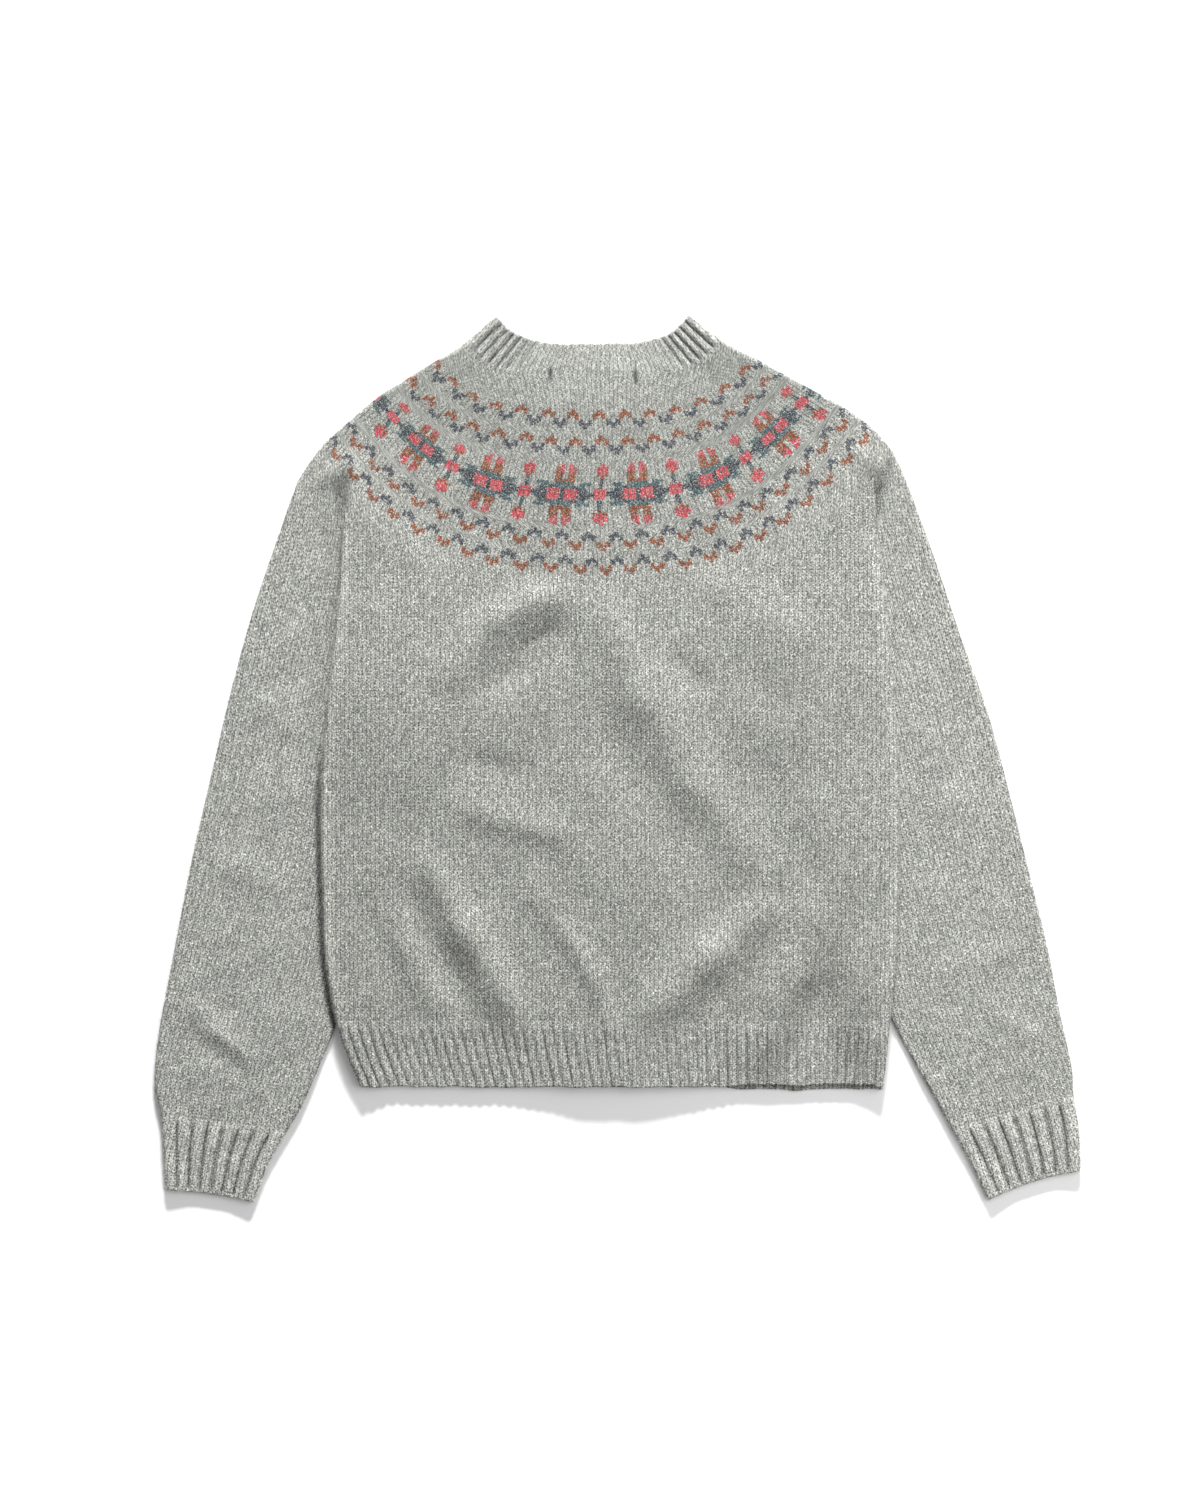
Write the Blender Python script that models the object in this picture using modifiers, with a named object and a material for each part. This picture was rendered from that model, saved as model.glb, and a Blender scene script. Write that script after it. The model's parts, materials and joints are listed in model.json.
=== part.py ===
"""A fair isle yoke cardigan laid flat on its buttoned front, with its back up.

Plan sizes are millimetres on a table whose x runs from the body's middle line
and whose y runs up from the hem. The mesh is made in metres, with +Z up.
"""

import math

import bmesh
import bpy
import numpy as np

MM = 0.001
FRAME_SHIFT = (-11.4, -273.9)

# The cloth
CLOTH = 2.0
SEAM_GAP = 0.3
REST_HEIGHT = 2 * CLOTH + SEAM_GAP
RIB_RELIEF = 0.8

# Rounded folds, as radii of the outer face
BODY_ROLL = 3.5
ARM_ROLL = 3.0
PRESSED_ROLL = 2.15
ROLL_FADE = 26.0
FOLD_ANGLES = (30.0, 60.0, 90.0)

# The hem, the yoke and the front opening
HEM_LOW = -1.5
HEM_TOP = 54.6
FRONT_HEM_DROP = 1.6
HEM_RIB_PITCH = 8.6
CUFF_RIB_PITCH = 9.6
NECK_RIB_PITCH = 9.0
YOKE_DEPTH = 195.7
YOKE_SEAM = 0.28
NECKBAND_HEIGHT = 24.4
FRONT_NECK_DROP = 45.0
UNDERARM_GRAFT = 46.0
BAND_WIDTH = 30.0
CENTRE_AT_HEM = 14.0
CENTRE_LEAN = -0.038
BAND_TOP = 575.0

# Buttons
BUTTON_COUNT = 8
BUTTON_RADIUS = 7.0
BUTTON_THICKNESS = 2.2
BUTTON_FIRST = 12.0
BUTTON_PITCH = 78.4
HOLE_RADIUS = 0.9
HOLE_OFFSET = 1.7
BUTTONHOLE_LENGTH = 15.5
BUTTONHOLE_WIDTH = 1.4

# The stacked layers at the front opening
BUTTONHOLE_BAND_LEVEL = BUTTON_THICKNESS + SEAM_GAP
BUTTON_BAND_LEVEL = BUTTONHOLE_BAND_LEVEL + CLOTH + SEAM_GAP
BAND_RAMP = 90.0
LEFT_FRONT_RAMP = 32.0
RIGHT_FRONT_RAMP = 24.0

# The body lies on the inner part of each sleeve
SLEEVE_STACK = REST_HEIGHT + 0.4
STACK_MARGIN = 5.0
STACK_RAMP = 22.0
STACK_RAMP_AT_ARMHOLE = 6.0
CREASE_WIDTH = 9.0
CREASE_FADE = 62.0
PUFF = 1.8
LEAST_AIR = 0.5
SLEEVE_CROWN = 1.3

# Shape of a yoke ring: its handles as shares of its half width
RING_LEAN = math.radians(52.0)
FOLD_HANDLE = 0.36
LOW_HANDLE = 0.565


def table(names, *rows):
    """A table with named columns: a dictionary of arrays."""
    return dict(zip(names.split(), np.array(rows, float).T))


BODY_SIDES = table(
    "height left right",
    (-5.0, -204.0, 234.2),
    (-1.5, -205.0, 234.4),
    (21.0, -214.2, 236.9),
    (54.6, -225.1, 240.2),
    (96.6, -232.7, 244.4),
    (155.4, -236.0, 247.0),
    (239.4, -237.3, 247.8),
    (323.4, -231.8, 243.6),
    (407.4, -223.0, 235.2),
    (466.2, -219.2, 229.3),
    (500.0, -218.0, 226.5),
)

YOKE_RINGS = table(
    "depth left_x left_y right_x right_y low_x low_y",
    (-24.4, -89.9, 646.0, 71.1, 646.2, -3.4, 622.4),
    (0.0, -119.3, 621.2, 100.8, 624.1, -5.0, 598.1),
    (38.6, -145.0, 606.0, 128.5, 609.5, -3.4, 559.4),
    (61.3, -166.5, 592.5, 145.5, 600.0, -1.7, 536.8),
    (105.0, -191.5, 576.2, 176.4, 583.0, -3.4, 493.1),
    (144.5, -219.2, 552.7, 208.3, 564.5, -0.8, 453.6),
    (165.5, -233.5, 540.1, 225.1, 551.9, 0.0, 432.6),
    (195.7, -248.6, 520.8, 242.8, 531.7, 0.0, 402.4),
)

LEFT_SLEEVE = table(
    "outer_x outer_y inner_x inner_y",
    (-367.9, -88.2, -294.0, -98.3),
    (-370.0, -54.0, -281.0, -65.0),
    (-372.1, -24.4, -265.4, -37.8),
    (-377.2, 0.0, -252.8, -16.0),
    (-374.6, 37.8, -236.9, 21.0),
    (-368.8, 71.4, -225.1, 50.4),
    (-358.7, 123.5, -211.7, 93.2),
    (-346.1, 189.0, -196.6, 152.9),
    (-331.0, 254.5, -184.0, 210.0),
    (-315.0, 323.4, -177.2, 266.3),
    (-299.0, 383.9, -173.0, 313.3),
    (-283.9, 430.9, -169.7, 346.9),
    (-268.8, 474.6, -169.7, 380.5),
    (-257.9, 504.8, -170.0, 412.0),
)

RIGHT_SLEEVE = table(
    "outer_x outer_y inner_x inner_y",
    (399.8, -72.2, 322.6, -96.6),
    (399.0, -40.0, 305.0, -60.5),
    (394.0, -6.7, 291.5, -37.0),
    (393.1, 12.6, 278.0, -11.8),
    (388.9, 33.6, 261.2, 17.6),
    (381.4, 67.2, 240.2, 58.0),
    (373.0, 113.4, 226.8, 92.4),
    (358.7, 172.2, 213.4, 152.9),
    (341.0, 243.6, 199.9, 210.0),
    (321.7, 315.0, 191.5, 264.6),
    (300.7, 373.8, 184.8, 313.3),
    (280.6, 434.3, 180.6, 350.3),
    (264.6, 478.8, 179.8, 386.4),
    (252.8, 509.9, 181.0, 420.0),
)
CUFF_ROW = 2

# Columns across each panel, as portions from its outer side
BACK_WIDTH = 458.0
BACK_SIDE = (10.0, 18.0, 26.0, 34.0, 42.0, 50.0, 58.0, 66.0, 75.0, 86.0)
BACK_PORTIONS = (
    *(d / BACK_WIDTH for d in BACK_SIDE),
    *(0.5 + 0.035 * i for i in range(-8, 9)),
    *(1.0 - d / BACK_WIDTH for d in reversed(BACK_SIDE)),
)
FRONT_WIDTH = 212.0
FRONT_SIDE = (12.0, 24.0, 34.0, 43.0, 52.0, 61.0, 70.0, 80.0)
FRONT_DISTANCES = (*FRONT_SIDE, 100.0, 130.0, 160.0, 178.0, 188.0, 198.0, 212.0)
FRONT_PORTIONS = tuple(d / FRONT_WIDTH for d in FRONT_DISTANCES)
SLEEVE_PORTIONS = (0.08, 0.16, 0.25, 0.35, 0.45, 0.55, 0.65, 0.75, 0.84, 0.92)

# Soft folds on the back: ridges rise and troughs sink
BACK_FOLDS = table(
    "x0 y0 x1 y1 half_width rise",
    (-45.4, 382.2, -112.6, 331.8, 15.0, -3.2),
    (-124.0, 366.0, -92.0, 412.0, 13.0, 2.4),
    (-92.0, 412.0, -28.0, 428.0, 13.0, 2.4),
    (-20.0, 424.0, 24.0, 392.0, 13.0, 2.0),
    (13.4, 331.8, 72.2, 222.6, 12.0, -2.6),
    (30.2, 336.0, 135.2, 189.0, 14.0, 4.0),
    (48.7, 373.8, 68.0, 352.8, 12.0, -1.8),
    (-116.8, 252.0, -32.8, 221.0, 12.0, 2.8),
    (-120.0, 212.0, -49.6, 195.7, 11.0, -2.2),
    (-139.4, 193.2, -58.0, 67.2, 12.0, 5.5),
    (-150.4, 159.6, -91.6, 67.2, 12.0, -3.2),
    (-53.8, 168.0, -16.0, 117.6, 10.0, 3.2),
    (-16.0, 117.6, 8.0, 62.0, 10.0, 3.2),
    (4.0, 134.4, 20.0, 88.2, 10.0, -2.0),
    (90.7, 123.5, 34.4, 71.4, 14.0, 3.4),
    (135.2, 126.0, 53.8, 40.0, 13.0, -2.8),
    (191.5, 172.0, 112.0, 40.0, 12.0, 3.8),
    (185.6, 79.8, 160.0, 40.0, 12.0, -2.2),
    (-167.0, 142.8, -133.6, 71.4, 11.0, 2.8),
    (-186.0, 132.0, -172.0, 71.0, 10.0, -1.8),
    (160.4, 239.4, 164.6, 172.2, 11.0, -1.6),
    (-192.0, 323.0, -175.0, 239.0, 13.0, -1.6),
)

SLEEVE_FOLDS = table(
    "x0 y0 x1 y1 half_width rise",
    (-357.0, 72.0, -304.0, 26.0, 9.0, 2.0),
    (-342.0, 36.0, -306.0, 14.0, 9.0, -1.0),
    (352.0, 120.0, 296.0, 96.0, 10.0, 1.3),
    (330.0, 58.0, 372.0, 34.0, 9.0, 1.3),
    (-330.0, 190.0, -276.0, 170.0, 11.0, 1.2),
    (-300.0, 330.0, -262.0, 300.0, 12.0, 1.2),
    (318.0, 250.0, 272.0, 232.0, 12.0, 1.2),
)

GREY_WOOL = (0.40, 0.41, 0.38)
RIB_WOOL = (0.36, 0.37, 0.34)
YOKE_WOOL = (0.46, 0.47, 0.44)
HORN = (0.10, 0.07, 0.05)


def ease(share):
    """A smooth step from 0 to 1, level at both ends."""
    share = np.clip(share, 0.0, 1.0)
    return share * share * (3.0 - 2.0 * share)


def smooth_column(at, knots, values):
    """The cubic through a table's rows, with each row's slope taken from its neighbours."""
    slope = np.gradient(values, knots)
    i = np.clip(np.searchsorted(knots, at) - 1, 0, len(knots) - 2)
    step = knots[i + 1] - knots[i]
    t = np.clip((at - knots[i]) / step, 0.0, 1.0)
    low = (1 + 2 * t) * (1 - t) ** 2 * values[i] + t * (1 - t) ** 2 * step * slope[i]
    high = t**2 * (3 - 2 * t) * values[i + 1] + t**2 * (t - 1) * step * slope[i + 1]
    return low + high


def body_side(y, column):
    """The x of the body's left or right fold at a height above the hem."""
    return smooth_column(y, BODY_SIDES["height"], BODY_SIDES[column])


def centre_front(y):
    """The x of the front opening's middle line."""
    return CENTRE_AT_HEM + CENTRE_LEAN * y


def fold_relief(x, y, folds):
    """The height that a table of soft folds adds: each is a bell across a line and fades at its ends."""
    total = np.zeros(np.broadcast(x, y).shape)
    for x0, y0, x1, y1, half_width, rise in zip(*folds.values()):
        length = math.hypot(x1 - x0, y1 - y0)
        along = ((x - x0) * (x1 - x0) + (y - y0) * (y1 - y0)) / length
        across = ((x - x0) * (y1 - y0) - (y - y0) * (x1 - x0)) / length
        past = np.maximum(np.maximum(-along, along - length), 0.0)
        total = total + rise * np.exp(-(across / half_width) ** 2 - (past / half_width) ** 2)
    return total


def ring_widths(depth):
    """Half widths of a yoke ring, left and right of its lowest point."""
    low = smooth_column(depth, YOKE_RINGS["depth"], YOKE_RINGS["low_x"])
    left = low - smooth_column(depth, YOKE_RINGS["depth"], YOKE_RINGS["left_x"])
    right = smooth_column(depth, YOKE_RINGS["depth"], YOKE_RINGS["right_x"]) - low
    return left, right


def ring_point(depth, share, front=False):
    """A point of the yoke ring at a depth below the neckband.

    Share 0 is the left shoulder fold and 1 the right. Each half is one cubic curve: it leaves the fold
    square to the shoulder and is level at its lowest point. The rings of the front are lower by the
    front neck drop, which grows from the armhole inwards.
    """
    depth, share = np.broadcast_arrays(np.asarray(depth, float), np.asarray(share, float))
    on_left = share < 0.5
    t = 1.0 - np.abs(2.0 * share - 1.0)
    column = {name: smooth_column(depth, YOKE_RINGS["depth"], YOKE_RINGS[name]) for name in YOKE_RINGS}
    end_x = np.where(on_left, column["left_x"], column["right_x"])
    end_y = np.where(on_left, column["left_y"], column["right_y"])
    inward = np.where(on_left, 1.0, -1.0)
    half = np.abs(column["low_x"] - end_x)
    near_x = end_x + inward * FOLD_HANDLE * half * math.cos(RING_LEAN)
    near_y = end_y - FOLD_HANDLE * half * math.sin(RING_LEAN)
    far_x = column["low_x"] - inward * LOW_HANDLE * half
    weights = ((1 - t) ** 3, 3 * t * (1 - t) ** 2, 3 * t**2 * (1 - t), t**3)
    x = weights[0] * end_x + weights[1] * near_x + weights[2] * far_x + weights[3] * column["low_x"]
    y = weights[0] * end_y + weights[1] * near_y + (weights[2] + weights[3]) * column["low_y"]
    if front:
        start = 0.06 + (ARMHOLE_SHARE - 0.06) * np.clip(depth / YOKE_DEPTH, 0.0, 1.0) ** 2
        y = y - FRONT_NECK_DROP * ease((t - start) / (1.0 - start))
    return x, y


def ring_crossing(depth, line, right, front=False):
    """The share at which a ring crosses a line, given as a function of y that returns x."""
    shares = np.linspace(1.0, 0.4, 900) if right else np.linspace(0.0, 0.6, 900)
    x, y = ring_point(depth, shares, front)
    past = line(y) - x if right else x - line(y)
    i = int(np.argmax(past >= 0.0))
    return float(shares[i - 1] + (shares[i] - shares[i - 1]) * past[i - 1] / (past[i - 1] - past[i]))


ARMHOLE_SHARE = 0.0
LEFT_ARMHOLE = ring_crossing(YOKE_DEPTH, lambda y: body_side(y, "left") + UNDERARM_GRAFT, False)
RIGHT_ARMHOLE = ring_crossing(YOKE_DEPTH, lambda y: body_side(y, "right") - UNDERARM_GRAFT, True)
ARMHOLE_SHARE = 2.0 * max(LEFT_ARMHOLE, 1.0 - RIGHT_ARMHOLE)
LEFT_BODY_CORNER = ring_crossing(YOKE_DEPTH, lambda y: body_side(y, "left"), False)
RIGHT_BODY_CORNER = ring_crossing(YOKE_DEPTH, lambda y: body_side(y, "right"), True)


def sleeve_inner_edge(y, sleeve):
    """The x of a sleeve's inner fold at a height above the hem."""
    return smooth_column(y, sleeve["inner_y"], sleeve["inner_x"])


def sleeve_lift(x, y, ramp):
    """How far the body is raised by the sleeves under it: full above the sleeve, down a ramp beyond it."""
    left = 1.0 - (x - sleeve_inner_edge(y, LEFT_SLEEVE) - STACK_MARGIN) / ramp
    right = 1.0 - (sleeve_inner_edge(y, RIGHT_SLEEVE) - x - STACK_MARGIN) / ramp
    return SLEEVE_STACK * np.maximum(ease(left), ease(right))


def front_face(x, y):
    """Height of the lower, outer face of the fronts: the floor, the sleeves and the bands under them."""
    below_armhole = ease((LEFT_SLEEVE["inner_y"][-1] - y) / 70.0)
    narrow = STACK_RAMP_AT_ARMHOLE + (STACK_RAMP - STACK_RAMP_AT_ARMHOLE) * below_armhole
    off_centre = x - centre_front(y)
    to_left = BUTTON_BAND_LEVEL * ease(1.0 + (off_centre + BAND_WIDTH / 2) / LEFT_FRONT_RAMP)
    to_right = BUTTONHOLE_BAND_LEVEL * ease(1.0 - (off_centre - BAND_WIDTH / 2) / RIGHT_FRONT_RAMP)
    return sleeve_lift(x, y, narrow) + np.where(off_centre < 0.0, to_left, to_right)


def band_stack(x, y):
    """How far the back is raised by the two button bands and the buttons under them."""
    outside = np.maximum(np.abs(x - centre_front(y)) - BAND_WIDTH / 2, 0.0)
    fade = ease(1.0 - (y - BAND_TOP - 26.0) / 22.0)
    return BUTTON_BAND_LEVEL * ease(1.0 - outside / BAND_RAMP) * fade


def edge_puff(x, y):
    """The rounded fold along each side of the body stands higher than the middle."""
    left = x - body_side(y, "left") - BODY_ROLL
    right = body_side(y, "right") - BODY_ROLL - x
    tall = 2 * BODY_ROLL - REST_HEIGHT
    return tall * np.maximum(ease(1.0 - left / ROLL_FADE), ease(1.0 - right / ROLL_FADE))


def back_face(x, y):
    """Height of the upper, outer face of the body's back, with its soft folds."""
    near_side = edge_puff(x, y)
    open_area = 1.0 - near_side / (2 * BODY_ROLL - REST_HEIGHT)
    air = np.maximum(PUFF + fold_relief(x, y, BACK_FOLDS), LEAST_AIR)
    fade = ease((y - HEM_LOW) / 62.0)
    layers = REST_HEIGHT + sleeve_lift(x, y, STACK_RAMP) + band_stack(x, y)
    return layers + near_side + open_area * air * fade


def yoke_face(x, y, depth):
    """Height of the yoke's upper face at the back. It rises over the tucked sleeves at the crease."""
    crease = np.minimum(
        ease((x - body_side(y, "left")) / CREASE_WIDTH + 0.5),
        ease((body_side(y, "right") - x) / CREASE_WIDTH + 0.5),
    )
    into_yoke = ease((depth - YOKE_DEPTH + CREASE_FADE) / CREASE_FADE)
    lift = sleeve_lift(x, y, STACK_RAMP) * crease * into_yoke
    folds = fold_relief(x, y, BACK_FOLDS) * into_yoke
    left_x, right_x = ring_point(depth, 0.0)[0], ring_point(depth, 1.0)[0]
    from_fold = np.minimum(x - left_x, right_x - x)
    shoulder = (2 * ARM_ROLL - REST_HEIGHT) * ease(1.0 - (from_fold - 2.0) / ROLL_FADE)
    puff = (LEAST_AIR + (PUFF - LEAST_AIR) * ease((depth - 30.0) / 130.0)) * ease(from_fold / 36.0)
    return REST_HEIGHT + lift + band_stack(x, y) + shoulder + np.maximum(puff + folds, 0.0)


def front_yoke_face(x, y, depth):
    """Height of the lower face of the yoke's fronts: the floor, and up to the bands."""
    off_centre = x - centre_front(y)
    to_left = BUTTON_BAND_LEVEL * ease(1.0 + (off_centre + BAND_WIDTH / 2) / LEFT_FRONT_RAMP)
    to_right = BUTTONHOLE_BAND_LEVEL * ease(1.0 - (off_centre - BAND_WIDTH / 2) / RIGHT_FRONT_RAMP)
    return np.where(off_centre < 0.0, to_left, to_right)


class Cloth:
    """A folded stretch of cloth: a plan of rows and shares across, an upper and a lower outer face.

    plan(rows, share) gives x and y, span(rows) the length across each row, upper and lower(x, y, rows)
    the heights of the outer faces, and roll(rows) the radii of its left and right rounded folds.
    """

    def __init__(self, rows, plan, span, upper, lower, roll):
        self.rows = np.asarray(rows, float)
        self.plan = plan
        self.span = span(self.rows)
        self.upper = upper
        self.lower = lower
        self.roll = roll(self.rows)

    def place(self, distance, right):
        """Plan points at a distance in from a fold."""
        share = distance / self.span[1 if right else 0]
        return self.plan(self.rows, 1.0 - share if right else share)

    def fold(self, right, angle, lift=0.0):
        """One column round a fold: -90 degrees is its lower end, 0 its edge and 90 its upper end."""
        radius = self.roll[1 if right else 0]
        x, y = self.place(radius, right)
        top = self.upper(x, y, self.rows)
        low = self.lower(x, y, self.rows)
        middle = (top + low) / 2 + lift
        half = (top - low) / 2
        turn = math.radians(angle)
        outer = self.place(radius * (1 - math.cos(turn)), right)
        inner = self.place(radius - (radius - CLOTH) * math.cos(turn), right)
        return (
            np.stack([*outer, middle + half * math.sin(turn)], axis=-1),
            np.stack([*inner, middle + (half - CLOTH) * math.sin(turn)], axis=-1),
        )

    def share_between(self, portion):
        """The share across at a portion of the way from the left fold's inner end to the right one's."""
        first = self.roll[0] / self.span[0]
        last = 1.0 - self.roll[1] / self.span[1]
        return first + (last - first) * portion

    def top(self, share, relief=0.0):
        """One column of the upper layer."""
        x, y = self.plan(self.rows, share)
        height = self.upper(x, y, self.rows)
        return np.stack([x, y, height + relief], axis=-1), np.stack([x, y, height - CLOTH], axis=-1)

    def bottom(self, share):
        """One column of the lower layer."""
        x, y = self.plan(self.rows, share)
        height = self.lower(x, y, self.rows)
        return np.stack([x, y, height], axis=-1), np.stack([x, y, height + CLOTH], axis=-1)


def rib_portions(length, pitch):
    """Columns across ribs: each rib is a flat crest between narrow valleys. Gives portions and crests."""
    count = max(2, round(length / pitch))
    edges = np.arange(count) / count
    portions = np.stack([edges, edges + 0.22 / count, edges + 0.78 / count], axis=-1).ravel()
    crests = np.tile([0.0, 1.0, 1.0], count)
    return portions[1:], crests[1:]


def make_material(name, colour, roughness=0.95):
    """A plain Principled finish."""
    material = bpy.data.materials.new(name)
    material.use_nodes = True
    shader = material.node_tree.nodes["Principled BSDF"]
    shader.inputs["Base Color"].default_value = (*colour, 1.0)
    shader.inputs["Roughness"].default_value = roughness
    shader.inputs["Metallic"].default_value = 0.0
    return material


def add_object(name, mesh, colour, collection, roughness=0.95):
    """Puts a mesh in the part's collection under its node's name."""
    mesh.materials.append(make_material(name, colour, roughness))
    made = bpy.data.objects.new(name, mesh)
    collection.objects.link(made)
    return made


def wall(name, columns, colour, collection, tube=False):
    """Skins columns of outer and inner points into one closed wall, with rims along its open edges."""
    outer = np.stack([column[0] for column in columns], axis=1)
    inner = np.stack([column[1] for column in columns], axis=1)
    row_count, column_count = outer.shape[:2]
    points = np.concatenate([outer.reshape(-1, 3), inner.reshape(-1, 3)])
    points[:, :2] += FRAME_SHIFT
    shape = bmesh.new()
    made = [shape.verts.new(point * MM) for point in points]
    outside = np.array(made, dtype=object)[: row_count * column_count].reshape(row_count, column_count)
    inside = np.array(made, dtype=object)[row_count * column_count:].reshape(row_count, column_count)
    steps = range(column_count if tube else column_count - 1)
    for r in range(row_count - 1):
        for c in steps:
            d = (c + 1) % column_count
            shape.faces.new((outside[r, c], outside[r, d], outside[r + 1, d], outside[r + 1, c]))
            shape.faces.new((inside[r, c], inside[r + 1, c], inside[r + 1, d], inside[r, d]))
        if not tube:
            shape.faces.new((outside[r, 0], outside[r + 1, 0], inside[r + 1, 0], inside[r, 0]))
            shape.faces.new((outside[r, -1], inside[r, -1], inside[r + 1, -1], outside[r + 1, -1]))
    for c in steps:
        d = (c + 1) % column_count
        shape.faces.new((outside[0, c], inside[0, c], inside[0, d], outside[0, d]))
        shape.faces.new((outside[-1, c], outside[-1, d], inside[-1, d], inside[-1, c]))
    bmesh.ops.recalc_face_normals(shape, faces=shape.faces)
    mesh = bpy.data.meshes.new(name)
    shape.to_mesh(mesh)
    shape.free()
    mesh.shade_smooth()
    mesh.set_sharp_from_angle(angle=math.radians(50))
    return add_object(name, mesh, colour, collection)


def body_patch(low, high_depth, corners, sides, front):
    """The plan of a body panel: a patch between its two sides, its lower line and its yoke seam."""
    start, end = corners
    left_line, right_line = sides
    left_top = ring_point(high_depth, start, front)[1]
    right_top = ring_point(high_depth, end, front)[1]

    def plan(rows, share):
        share = np.broadcast_to(share, rows.shape)
        left_y = low + (left_top - low) * rows
        right_y = low + (right_top - low) * rows
        left_x, right_x = left_line(left_y), right_line(right_y)
        base_left, base_right = left_line(np.full(1, low)), right_line(np.full(1, low))
        base_x = base_left + (base_right - base_left) * share
        top_x, top_y = ring_point(high_depth, start + (end - start) * share, front)
        corner_left = left_line(np.full(1, left_top))
        corner_right = right_line(np.full(1, right_top))
        straight_x = (1 - rows) * base_x + rows * top_x
        straight_y = (1 - rows) * low + rows * top_y
        fix_left = left_x - ((1 - rows) * base_left + rows * corner_left)
        fix_right = right_x - ((1 - rows) * base_right + rows * corner_right)
        return straight_x + (1 - share) * fix_left + share * fix_right, straight_y

    return plan


def left_side(y):
    return body_side(y, "left")


def right_side(y):
    return body_side(y, "right")


def left_band_edge(y):
    return centre_front(y) - BAND_WIDTH / 2 - SEAM_GAP


def right_band_edge(y):
    return centre_front(y) + BAND_WIDTH / 2 + SEAM_GAP


def constant(value):
    """The same pair of values for every row."""
    return lambda rows: (np.full(rows.shape, float(value)), np.full(rows.shape, float(value)))


def across_body(rows):
    width = body_side(HEM_TOP, "right") - body_side(HEM_TOP, "left")
    return np.full(rows.shape, width), np.full(rows.shape, width)


def upper_half(cloth, portions, reliefs):
    """Columns of an upper panel, from its left side seam over to its right one."""
    half_gap = SEAM_GAP / 2
    columns = [cloth.fold(False, 0.0, half_gap)]
    columns += [cloth.fold(False, angle) for angle in FOLD_ANGLES]
    columns += [cloth.top(cloth.share_between(p), relief) for p, relief in zip(portions, reliefs)]
    columns += [cloth.fold(True, angle) for angle in reversed(FOLD_ANGLES)]
    columns.append(cloth.fold(True, 0.0, half_gap))
    return columns


def lower_half(cloth, portions, right):
    """Columns of a lower panel, from its side seam to its edge at the band."""
    columns = [cloth.fold(right, 0.0, -SEAM_GAP / 2)]
    columns += [cloth.fold(right, -angle) for angle in FOLD_ANGLES]
    columns += [cloth.bottom(cloth.share_between(1.0 - p if right else p)) for p in portions]
    return columns


def strip_plan(low, high, left_line, right_line):
    """The plan of a straight strip such as a hem rib."""

    def plan(rows, share):
        y = low + (high - low) * rows
        return left_line(y) + (right_line(y) - left_line(y)) * share, y

    return plan


def drop_rows(face):
    """A face that only needs x and y, given the arguments of a Cloth face."""
    return lambda x, y, rows: face(x, y)


def make_back(collection):
    """The body's back: the upper layer from the hem rib to the yoke, with its largest folds."""
    corners = (LEFT_BODY_CORNER, RIGHT_BODY_CORNER)
    sides = (left_side, right_side)
    plan = body_patch(HEM_TOP + SEAM_GAP / 2, YOKE_DEPTH + YOKE_SEAM, corners, sides, False)
    rows = np.linspace(0.0, 1.0, 20)
    cloth = Cloth(rows, plan, across_body, drop_rows(back_face), drop_rows(front_face), constant(BODY_ROLL))
    wall("back", upper_half(cloth, BACK_PORTIONS, np.zeros(len(BACK_PORTIONS))), GREY_WOOL, collection)


def make_back_rib(collection):
    """The ribbed welt of the back."""
    plan = strip_plan(HEM_LOW, HEM_TOP - SEAM_GAP / 2, left_side, right_side)
    rows = np.array([0.0, 1.0])
    cloth = Cloth(rows, plan, across_body, drop_rows(back_face), drop_rows(front_face), constant(BODY_ROLL))
    portions, crests = rib_portions(cloth.span[0][0], HEM_RIB_PITCH)
    wall("back_rib", upper_half(cloth, portions, crests * RIB_RELIEF), RIB_WOOL, collection)


def make_front(name, right, collection):
    """One front of the body: the lower layer from its side seam to the band."""
    band_share = ring_crossing(YOKE_DEPTH, right_band_edge if right else left_band_edge, right, True)
    side_share = RIGHT_BODY_CORNER if right else LEFT_BODY_CORNER
    corners = (band_share, side_share) if right else (side_share, band_share)
    sides = (right_band_edge, right_side) if right else (left_side, left_band_edge)
    plan = body_patch(HEM_TOP + SEAM_GAP / 2, YOKE_DEPTH + YOKE_SEAM, corners, sides, True)
    span = abs(body_side(HEM_TOP, "right" if right else "left") - centre_front(HEM_TOP)) - BAND_WIDTH / 2
    rows = np.linspace(0.0, 1.0, 14)
    top, bottom = drop_rows(back_face), drop_rows(front_face)
    cloth = Cloth(rows, plan, constant(span), top, bottom, constant(BODY_ROLL))
    cloth.roll = roll_at_side(cloth, right)
    wall(name, lower_half(cloth, FRONT_PORTIONS, right), GREY_WOOL, collection)


def roll_at_side(cloth, right):
    """Keeps the rounded fold on the side seam alone, so that the other edge runs straight to the band."""
    none = np.zeros(cloth.rows.shape)
    return (none, cloth.roll[1]) if right else (cloth.roll[0], none)


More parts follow.
